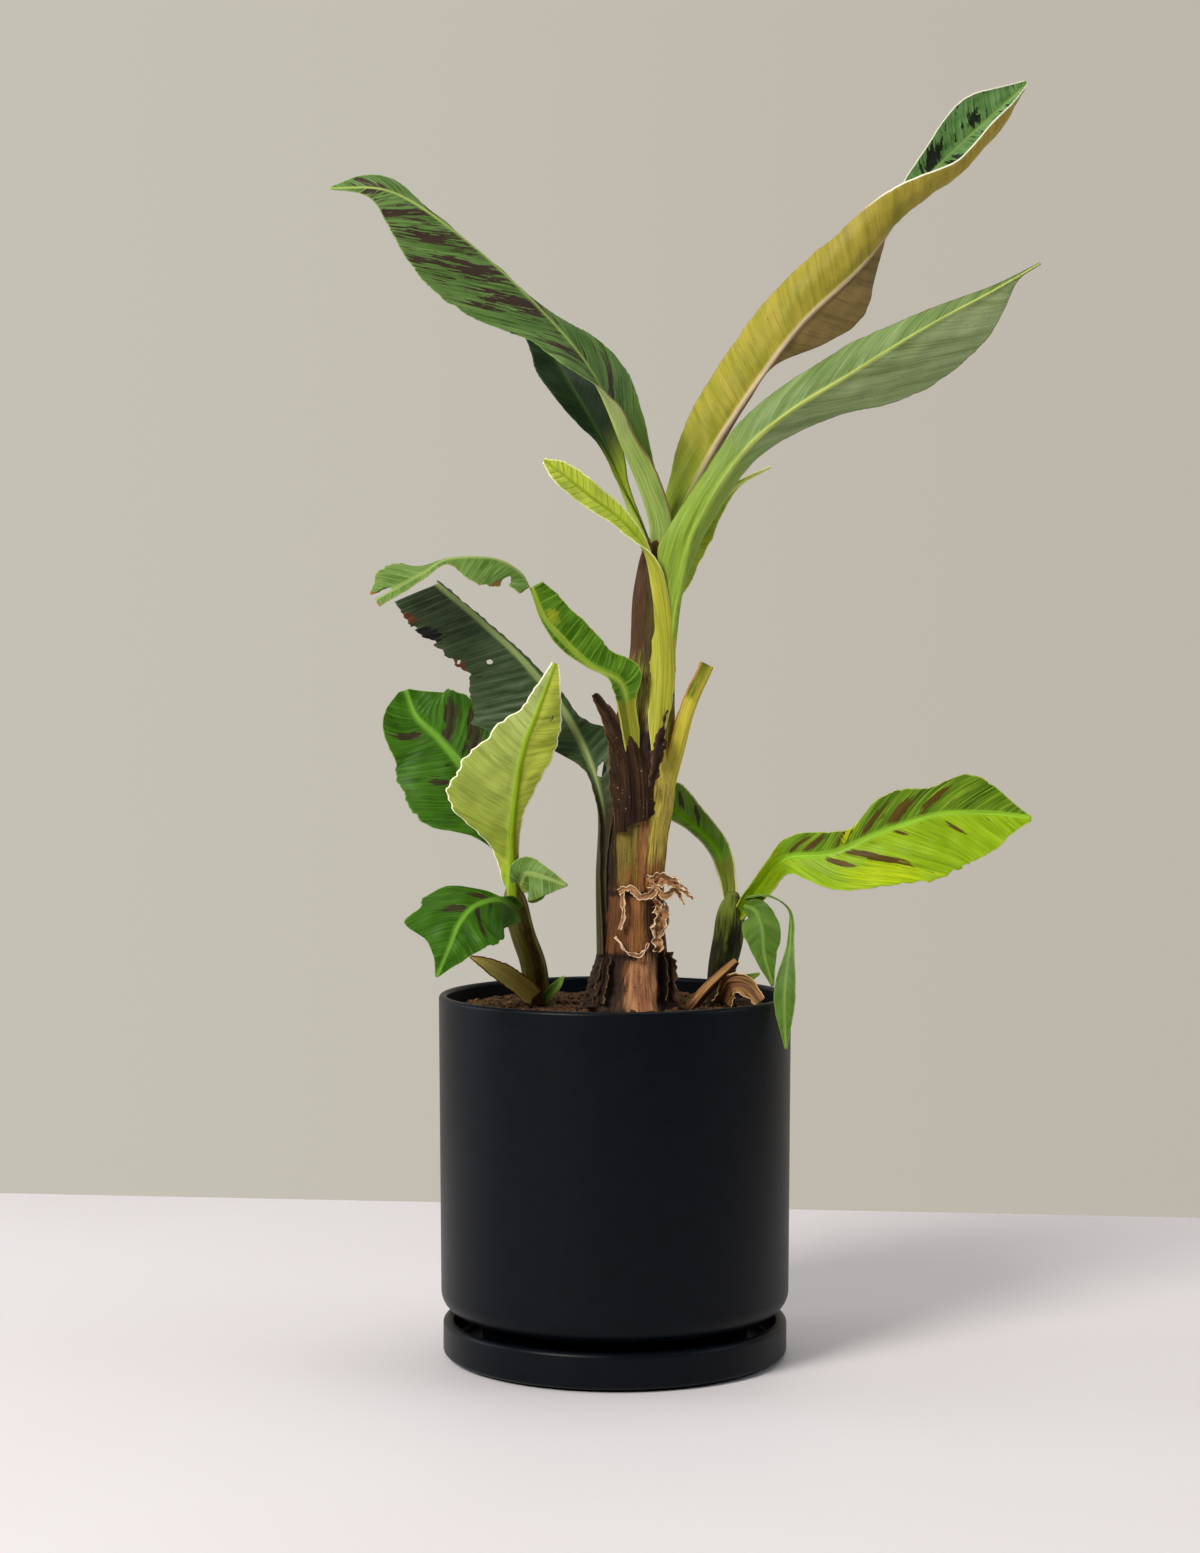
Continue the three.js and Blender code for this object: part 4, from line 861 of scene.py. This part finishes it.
def darker(colour):
    """A linear colour at about six tenths of its strength."""
    return tuple(c * share for c, share in zip(colour, (0.6, 0.62, 0.55, 1)))


def put(tree, kind, sockets=None, out=0, **settings):
    """Adds a node with its settings, links or sets its sockets, and returns an output."""
    node = tree.nodes.new("ShaderNode" + kind)
    for setting, value in settings.items():
        setattr(node, setting, value)
    for socket, value in (sockets or {}).items():
        if isinstance(value, bpy.types.NodeSocket):
            tree.links.new(value, node.inputs[socket])
        else:
            node.inputs[socket].default_value = value
    return node.outputs[out] if len(node.outputs) else node


def lay(tree, under, over, mask, low=0, high=1, most=1, blend="MIX", shape="SMOOTHSTEP"):
    """Lays a colour over another where a mask goes from low to high, up to a share."""
    share = put(tree, "MapRange", {0: mask, 1: low, 2: high, 4: most}, interpolation_type=shape)
    return put(tree, "Mix", {0: share, 6: under, 7: over}, out=2, data_type="RGBA",
               blend_type=blend)


def drawn_out(tree, place, sizes, detail=2.0, rough=0.5):
    """Noise whose grains have about these sizes in millimetres along the place's axes."""
    scaled = put(tree, "Mapping", {"Vector": place, "Scale": (1 / sizes[0], 1 / sizes[1], 0)})
    return put(tree, "TexNoise", {"Vector": scaled, "Scale": 1.0, "Detail": detail,
                                  "Roughness": rough})


def start_material(name):
    finish = bpy.data.materials.new(name)
    finish.use_nodes = True
    finish.node_tree.nodes.clear()
    return finish, finish.node_tree


def end_material(tree, colour, rough, gloss, bump=None, **more):
    """The shader, with a bump given as its height, strength and distance in metres."""
    sockets = {"Base Color": colour, "Roughness": rough, "Specular IOR Level": gloss, **more}
    if bump:
        names = ("Height", "Strength", "Distance")
        sockets["Normal"] = put(tree, "Bump", dict(zip(names, bump)))
    put(tree, "OutputMaterial", {"Surface": put(tree, "BsdfPrincipled", sockets)})


@cache
def leaf_material(kind):
    """Waxy banana leaf lamina: a satin skin over close parallel side veins, the stronger
    ones a fine pale line. The fine veins are really 0.6 mm apart and are drawn at 1.6 mm
    so that they show. Blotches break up into islands that lie along the veins."""
    colours, look = FINISHES[kind]
    near, far, streak, rib, stalk, margin = (linear(colour) for colour in colours.split())
    dry = kind in DRY
    lengthwise = dry or kind.startswith("cut_stalk")
    finish, tree = start_material(("dried_banana_" if dry else "banana_leaf_") + kind)
    place = put(tree, "Attribute", out=1, attribute_name="veins")
    marks = [mark for mark in MARKS if mark in look]
    names = ["tint", "stalk", "rib", *marks] + ["half"] * ("other" in look)
    note = {name: put(tree, "Attribute", out=2, attribute_name=name) for name in names}

    def grain(wide, long, detail=2.0, turn=lengthwise):
        """Noise drawn out along the veins, or along the blade where its fibres run so."""
        return drawn_out(tree, place, (long, wide) if turn else (wide, long), detail, 0.62)

    fine = grain(1.6, 26, 3.0)
    fibre = grain(1.3, 45, 3.0, True)
    cloud = grain(16, 30)
    apart = put(tree, "SeparateXYZ", {0: place})
    colour = lay(tree, near, far, note["tint"], shape="LINEAR")
    if "other" in look:
        halves = [colour, linear(look["other"])]
        if kind in ("golden_under", "pale_lime_under"):
            halves.reverse()
        colour = lay(tree, *halves, note["half"], shape="LINEAR")
    # Clouds, then bands between the stronger veins, then the fine veins
    band = grain(5, 60, 1.5)
    bold = look.get("bold", 0.45)
    lighter = put(tree, "Mix", {0: 0.25, 6: colour, 7: streak}, out=2, data_type="RGBA")
    shaded = put(tree, "Mix", {0: 1.0, 6: colour, 7: (0.66, 0.7, 0.58, 1)}, out=2,
                 data_type="RGBA", blend_type="MULTIPLY")
    colour = lay(tree, shaded, lighter, cloud, 0.3, 0.7)
    colour = lay(tree, colour, (0.55, 0.6, 0.5, 1), band, 0.5, 0.34, bold, "MULTIPLY")
    colour = lay(tree, colour, streak, fine, 0.48, 0.7, bold)
    colour = lay(tree, colour, (0.5, 0.54, 0.44, 1), fine, 0.48, 0.3, bold, "MULTIPLY")
    if not lengthwise:
        # The stronger side veins, a fine pale line about every 6.2 mm
        even = put(tree, "Math", {0: apart, 1: TURN / 6.2}, operation="MULTIPLY")
        phase = put(tree, "Math", {0: band, 1: 5.0, 2: even}, operation="MULTIPLY_ADD")
        crest = put(tree, "Math", {0: phase}, operation="SINE")
        colour = lay(tree, colour, streak, crest, 0.9, 1.0, look.get("lines", 0.4))
    islands = grain(3.4, 14, 3.0)
    spreads = {"pale": 2.0, "blotch": look.get("broken", 2.4), "scorch": 1.6}
    for mark in marks:
        spread = spreads[mark]
        reach = put(tree, "Math", {0: islands, 1: spread, 2: note[mark]},
                    operation="MULTIPLY_ADD")
        low, high = (0.3, 0.8) if mark == "pale" else (0.42, 0.54)
        tone = linear(look[mark])
        tone = lay(tree, darker(tone), tone, fine, 0.35, 0.7)
        colour = lay(tree, colour, tone, reach, low + spread / 2, high + spread / 2)
    if "specks" in look:
        specks = drawn_out(tree, place, (2.0, 1.8), 1.0)
        colour = lay(tree, colour, linear(look["specks"]), specks, 0.72, 0.76)
    # The petiole, with fibres along it, and the midrib, which sinks into it
    tone = lay(tree, darker(stalk), stalk, fibre, 0.32, 0.62)
    colour = lay(tree, colour, tone, note["stalk"], shape="LINEAR")
    bare = put(tree, "Math", {0: note["stalk"], 1: -0.9, 2: 1.0}, operation="MULTIPLY_ADD")
    bare = put(tree, "Math", {0: note["rib"], 1: bare}, operation="MULTIPLY")
    tone = lay(tree, darker(rib), rib, fibre, 0.3, 0.6)
    colour = lay(tree, colour, tone, bare, shape="LINEAR")
    # The margin's line: how wide, how strong and from where along the blade
    wide, strong, start = look.get("edge", (0.8, 0.5, -1))
    if start > 0:
        margin = lay(tree, colour, margin, note["tint"], start - 0.04, start + 0.04)
    colour = lay(tree, colour, margin, apart.node.outputs[2], wide, 0.4 * wide, strong)
    # The skin's own white gloss washes the colours out, so they are laid on stronger
    colour = put(tree, "HueSaturation", {"Saturation": 1.0 if dry else 1.03, "Value": 1.12,
                                         "Color": colour})
    low, high = (0.65, 0.9) if dry else (0.4, 0.55)
    end_material(tree, colour, put(tree, "MapRange", {0: cloud, 3: low, 4: high}),
                 0.1 if dry else 0.18, (grain(0.9, 12), 0.5 if dry else 0.22, 0.0005), IOR=1.45)
    return finish


@cache
def stem_material(kind):
    """Overlapping leaf sheaths of a banana stem: a smooth fibrous skin, satin where it
    is green and dull where it is dry. The fibres are drawn 0.9 mm wide to show."""
    finish, tree = start_material(kind)
    coat = put(tree, "Attribute", out=0, attribute_name="coat")
    place = put(tree, "Attribute", out=1, attribute_name="grain")
    fine = drawn_out(tree, place, (0.9, 24), 4.0, 0.7)
    patch = drawn_out(tree, place, (5, 22), 3.0)
    dark, light = (
        put(tree, "Mix", {0: 1.0, 6: coat, 7: tone}, out=2, data_type="RGBA",
            blend_type="MULTIPLY") for tone in ((0.36, 0.32, 0.28, 1), (1.5, 1.42, 1.3, 1)))
    colour = lay(tree, coat, dark, fine, 0.52, 0.34)
    colour = lay(tree, colour, light, fine, 0.55, 0.72, 0.7)
    colour = lay(tree, colour, dark, patch, 0.5, 0.3, 0.5)
    specks = drawn_out(tree, place, (2.2, 3.0), 1.5)
    colour = lay(tree, colour, linear("#1f140c"), specks, 0.68, 0.73)
    end_material(tree, colour, put(tree, "MapRange", {0: patch, 3: 0.42, 4: 0.72}), 0.15,
                 (fine, 0.6, 0.0008))
    return finish


@cache
def material(kind):
    """The plain finishes: satin glaze on the pot and saucer, potting soil and its crumbs,
    the painted wall and the pale table."""
    finish, tree = start_material(kind)
    place = put(tree, "TexCoord", out=3)
    if kind == "satin_navy_glaze":
        # Glaze pooled and sprayed on fired clay: 12 mm clouds, 0.7 mm orange peel
        cloud = put(tree, "TexNoise", {"Vector": place, "Scale": 80.0, "Detail": 3.0})
        peel = put(tree, "TexNoise", {"Vector": place, "Scale": 1400.0, "Detail": 1.0})
        colour = lay(tree, linear("#04080e"), linear("#050b12"), cloud, 0.3, 0.7)
        end_material(tree, colour, put(tree, "MapRange", {0: cloud, 3: 0.34, 4: 0.42}), 0.14,
                     (peel, 0.06, 0.0002), IOR=1.45)
    elif kind == "potting_soil":
        # Peat and bark fibre: 2 mm grains in 16 mm patches, with a little green on top
        grain = put(tree, "TexNoise", {"Vector": place, "Scale": 420.0, "Detail": 5.0,
                                       "Roughness": 0.7})
        patch = put(tree, "TexNoise", {"Vector": place, "Scale": 60.0, "Detail": 3.0})
        colour = lay(tree, linear("#1f140c"), linear("#6b4a2e"), grain, 0.35, 0.68)
        colour = lay(tree, colour, linear("#5c5a24"), patch, 0.55, 0.7, 0.5)
        end_material(tree, colour, 0.95, 0.2, (grain, 1.0, 0.0015))
    elif kind == "bark_chip_compost":
        # Bark chips, each of its own shade, with dark pores of about 1.5 mm
        shade = put(tree, "Attribute", out=2, attribute_name="shade")
        grain = put(tree, "TexNoise", {"Vector": place, "Scale": 700.0, "Detail": 4.0})
        colour = lay(tree, linear("#2a1a10"), linear("#8a5c3a"), shade, shape="LINEAR")
        colour = lay(tree, linear("#2c1c11"), colour, grain, 0.4, 0.62)
        end_material(tree, colour, 0.92, 0.25, (grain, 0.8, 0.001))
    elif kind == "glowing_greige_wall":
        # Matt greige wall that glows evenly with its own light, with painted light a little
        # brighter to the left
        apart = put(tree, "SeparateXYZ", {0: place})
        colour = lay(tree, linear("#c8c3b7"), linear("#c0b9ad"), apart, -1.2, 1.2)
        end_material(tree, linear("#0c0b0a"), 0.9, 0.0,
                     **{"Emission Color": colour, "Emission Strength": 0.97})
    else:
        # Smooth white table board
        cloud = put(tree, "TexNoise", {"Vector": place, "Scale": 2.0, "Detail": 2.0})
        colour = lay(tree, linear("#e2dddf"), linear("#e6e2e4"), cloud, 0.2, 0.8)
        end_material(tree, colour, 0.6, 0.2)
    return finish


# Settings that a user would change


class PotSettings(bpy.types.PropertyGroup):
    sides: bpy.props.IntProperty(
        name="Sides", description="Faces round the pot and saucer", default=192, min=48)


class SoilSettings(bpy.types.PropertyGroup):
    crumbs: bpy.props.IntProperty(
        name="Crumbs", description="Loose crumbs on the soil", default=900, min=0)
    smallest: bpy.props.FloatProperty(
        name="Smallest crumb", description="Across the smallest crumb", default=2 * MM,
        unit="LENGTH")
    largest: bpy.props.FloatProperty(
        name="Largest crumb", description="Across the largest crumb", default=6.5 * MM,
        unit="LENGTH")


class PlantSettings(bpy.types.PropertyGroup):
    blade_fineness: bpy.props.FloatProperty(
        name="Blade fineness", description="Distance between a blade's mesh points",
        default=1.9 * MM, unit="LENGTH")
    stem_fineness: bpy.props.FloatProperty(
        name="Stem fineness", description="Distance between a stem's mesh points",
        default=1.2 * MM, unit="LENGTH")


class StageSettings(bpy.types.PropertyGroup):
    camera_place: bpy.props.FloatVectorProperty(
        name="Camera", description="Where the camera stands", size=3, subtype="TRANSLATION",
        unit="LENGTH", default=(-0.011, -2.07, 0.485))
    camera_pitch: bpy.props.FloatProperty(
        name="Camera pitch", description="How far the camera looks down", subtype="ANGLE",
        default=math.radians(1.6))
    lens: bpy.props.FloatProperty(
        name="Lens", description="Focal length for a 36 mm sensor on the long side, in mm",
        default=36 * 2806 / 1553)
    table_back: bpy.props.FloatProperty(
        name="Table back", description="How far behind the pot the table ends",
        default=0.56, unit="LENGTH")


def blades(context, names, first_seed, finer=1):
    """A blade for each solid of these names."""
    fineness = finer * context.scene.banana_plant.blade_fineness / MM
    for k, name in enumerate(names):
        piece = blade_mesh(name + "_blade", BLADES[name], first_seed + 11 * k, fineness)
        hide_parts(name)
    return {"FINISHED"}


class BANANA_OT_pot(bpy.types.Operator):
    """Turns the glazed pot and its saucer"""

    bl_idname = "banana.pot"
    bl_label = "Pot and saucer"

    def execute(self, context):
        sides = context.scene.banana_pot.sides
        glaze = material("satin_navy_glaze")
        rim = SAUCER_WALL / 2
        inside = SAUCER_RADIUS - SAUCER_WALL
        saucer = turned("glazed_saucer", [
            [0, 0], [SAUCER_STEP_RADIUS - 0.4, 0], [SAUCER_STEP_RADIUS, 0.4],
            [SAUCER_STEP_RADIUS, SAUCER_STEP],
            arc(SAUCER_RADIUS - 4, SAUCER_STEP + 4, 4, -90, 0, 10),
            arc(SAUCER_RADIUS - rim, SAUCER_HEIGHT - rim, rim, 0, 180, 20),
            arc(inside - 3, SAUCER_FLOOR + 3, 3, 0, -90, 8),
            [0, SAUCER_FLOOR]], sides, glaze)
        foot = SAUCER_FLOOR + GAP
        lip = POT_WALL / 2
        inside = POT_RADIUS - POT_WALL
        belly = 16
        pot = turned("glazed_pot", [
            [0, foot], [POT_FOOT_RADIUS - 1, foot], [POT_FOOT_RADIUS, foot + 1],
            [POT_FOOT_RADIUS, POT_UNDERSIDE - 1], [POT_FOOT_RADIUS + 1, POT_UNDERSIDE],
            arc(POT_BELLY_RADIUS - belly, POT_UNDERSIDE + belly, belly, -90, 0, 16),
            arc(POT_RADIUS - lip, POT_TOP - lip, lip, 0, 180, 20),
            arc(inside - 10, POT_FLOOR + 10, 10, 0, -90, 8),
            [0, POT_FLOOR]], sides, glaze)
        for piece, node in ((saucer, "saucer"), (pot, "pot")):
            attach(piece, BODY)
            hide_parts(node)
        return {"FINISHED"}


class BANANA_OT_soil(bpy.types.Operator):
    """Fills the pot with crumbly potting soil"""

    bl_idname = "banana.soil"
    bl_label = "Soil"

    def execute(self, context):
        settings = context.scene.banana_soil
        radius = POT_RADIUS - POT_WALL - GAP
        steps = np.linspace(radius - 0.8, 0, 60)
        profile = [[0, POT_FLOOR + GAP], arc(radius - 10, POT_FLOOR + GAP + 10, 10, -90, 0, 6),
                   [radius, SOIL_TOP - 3], np.stack([steps, np.full(60, SOIL_TOP)], -1)]
        soil = turned("potting_soil_bed", profile, 200, material("potting_soil"))
        # Lumps 22 mm and 7 mm across on the top
        co = np.empty(len(soil.data.vertices) * 3, np.float32)
        soil.data.vertices.foreach_get("co", co)
        co = co.reshape(-1, 3)
        top = co[:, 2] > (SOIL_TOP - 1) * MM
        lumps = 1.4 * unevenness(5, co[:, 0] / (22 * MM), co[:, 1] / (22 * MM))
        lumps += 0.8 * unevenness(6, co[:, 0] / (7 * MM), co[:, 1] / (7 * MM))
        co[top, 2] += (np.clip(lumps, -2.5, 2.5) * MM)[top]
        soil.data.vertices.foreach_set("co", co.ravel())
        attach(soil, BODY)
        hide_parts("soil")
        crumbs = clods_piece(31, settings.crumbs, settings.smallest / MM, settings.largest / MM)
        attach(crumbs, BODY)
        return {"FINISHED"}


class BANANA_OT_stems(bpy.types.Operator):
    """Raises the main stem, the two suckers and the dead stalk"""

    bl_idname = "banana.stems"
    bl_label = "Stems"

    def execute(self, context):
        fineness = context.scene.banana_plant.stem_fineness / MM
        for k, name in enumerate(STEMS):
            stem_piece(name, 400 + 100 * k, fineness)
        return {"FINISHED"}


class BANANA_OT_crown(bpy.types.Operator):
    """Unfolds the leaves at the top of the main stem"""

    bl_idname = "banana.crown"
    bl_label = "Crown leaves"

    def execute(self, context):
        return blades(context, CROWN, 1000)


class BANANA_OT_lower(bpy.types.Operator):
    """Hangs the older leaves lower on the main stem"""

    bl_idname = "banana.lower"
    bl_label = "Lower leaves"

    def execute(self, context):
        return blades(context, LOWER, 2000)


class BANANA_OT_suckers(bpy.types.Operator):
    """Unfolds the leaves of the two suckers"""

    bl_idname = "banana.suckers"
    bl_label = "Sucker leaves"

    def execute(self, context):
        return blades(context, SUCKERS, 3000)


class BANANA_OT_dried(bpy.types.Operator):
    """Adds the dried sheath, the papery peels, the bracts at the foot and the shreds, which
    are even strips, cupped and crumpled"""

    bl_idname = "banana.dried"
    bl_label = "Dried sheaths and bracts"

    def execute(self, context):
        blades(context, DRIED, 4000, 0.5)
        fineness = 0.5 * context.scene.banana_plant.blade_fineness / MM
        for k, (finish, turn, path, widths) in enumerate(SHREDS):
            shred = Blade("paper", finish, finish, path, [turn, turn], widths, fold=[10, 10],
                          curl=[50, 50], thick=[0.7, 0.5], crumple=(0.8, 14, 5))
            blade_mesh(f"sheath_shred_{k + 1}", shred, 4500 + 11 * k, fineness)
        return {"FINISHED"}


class BANANA_OT_stage(bpy.types.Operator):
    """Sets the table, the wall, the lamps and the camera"""

    bl_idname = "banana.stage"
    bl_label = "Stage"

    def execute(self, context):
        settings = context.scene.banana_stage
        scene = context.scene
        # The table's back edge runs a little askew to the camera
        side, thick, back = 3000, 30, settings.table_back / MM
        board = np.array([[-side, -side, 0], [side, -side, 0], [side, back - 300, 0],
                          [-side, back + 380, 0]], float)
        board = np.concatenate([board, board - [0, 0, thick]])
        faces = np.array([[0, 1, 2, 3], [7, 6, 5, 4], [0, 4, 5, 1], [1, 5, 6, 2], [2, 6, 7, 3],
                          [3, 7, 4, 0]])
        side, behind, low, high = 6000, 3300, -2500, 4500
        wall = np.array([[-side, behind, low], [side, behind, low], [side, behind, high],
                         [-side, behind, high]], float)
        for name, points, quads, finish in (
                ("table_top", board, faces, "white_table_board"),
                ("back_wall", wall, faces[:1], "glowing_greige_wall")):
            piece = new_piece(name, points, [quads], [material(finish)])
            piece.data.polygons.foreach_set("use_smooth", np.zeros(len(quads), bool))
        aim = np.array([0, 0, 0.4])
        lamps = (("key_softbox", (-2.4, -2.8, 2.8), 1.6, 180, "#fffcf6"),
                 ("right_softbox", (2.1, -0.5, 1.2), 1.2, 10, "#eaf0ff"),
                 ("left_softbox", (-2.2, 0.4, 0.9), 1.2, 14, "#eaf0ff"),
                 ("top_softbox", (0.3, 0.3, 2.8), 1.6, 21, "#fffcf8"))
        for name, place, size, power, colour in lamps:
            light = bpy.data.lights.new(name, "AREA")
            light.shape, light.size, light.energy = "DISK", size, power
            light.color = linear(colour)[:3]
            lamp = bpy.data.objects.new(name, light)
            lamp.location = place
            lamp.rotation_euler = Vector(aim - place).to_track_quat("-Z", "Y").to_euler()
            scene.collection.objects.link(lamp)
        scene.world = bpy.data.worlds.new("studio")
        scene.world.use_nodes = True
        tree = scene.world.node_tree
        tree.nodes.clear()
        sky = put(tree, "Background", {"Color": linear("#e4e2de"), "Strength": 0.18})
        put(tree, "OutputWorld", {"Surface": sky})
        camera = bpy.data.objects.new("camera", bpy.data.cameras.new("camera"))
        camera.data.lens = settings.lens
        camera.data.sensor_width = 36
        camera.location = settings.camera_place
        camera.rotation_euler = (math.pi / 2 - settings.camera_pitch, 0, 0)
        scene.collection.objects.link(camera)
        scene.camera = camera
        scene.view_settings.view_transform = "Standard"
        return {"FINISHED"}


OPERATORS = (BANANA_OT_stage, BANANA_OT_pot, BANANA_OT_soil, BANANA_OT_stems, BANANA_OT_crown,
             BANANA_OT_lower, BANANA_OT_suckers, BANANA_OT_dried)
SETTINGS = {"banana_pot": PotSettings, "banana_soil": SoilSettings,
            "banana_plant": PlantSettings, "banana_stage": StageSettings}


class BANANA_PT_panel(bpy.types.Panel):
    """Lists the steps in order"""

    bl_idname = "BANANA_PT_panel"
    bl_label = "Potted banana plant"
    bl_space_type = "VIEW_3D"
    bl_region_type = "UI"
    bl_category = "Banana"

    def draw(self, context):
        for operator in OPERATORS:
            self.layout.operator(operator.bl_idname)
        for name, group in SETTINGS.items():
            box = self.layout.box()
            for setting in group.__annotations__:
                box.prop(getattr(context.scene, name), setting)


def register():
    for group in (*SETTINGS.values(), *OPERATORS, BANANA_PT_panel):
        bpy.utils.register_class(group)
    for name, group in SETTINGS.items():
        setattr(bpy.types.Scene, name, bpy.props.PointerProperty(type=group))


def unregister():
    for name in SETTINGS:
        delattr(bpy.types.Scene, name)
    for group in reversed((*SETTINGS.values(), *OPERATORS, BANANA_PT_panel)):
        bpy.utils.unregister_class(group)


def main():
    register()
    bpy.ops.banana.stage()
    bpy.ops.banana.pot()
    bpy.ops.banana.soil()
    bpy.ops.banana.stems()
    bpy.ops.banana.crown()
    bpy.ops.banana.lower()
    bpy.ops.banana.suckers()
    bpy.ops.banana.dried()


if __name__ == "__main__":
    main()
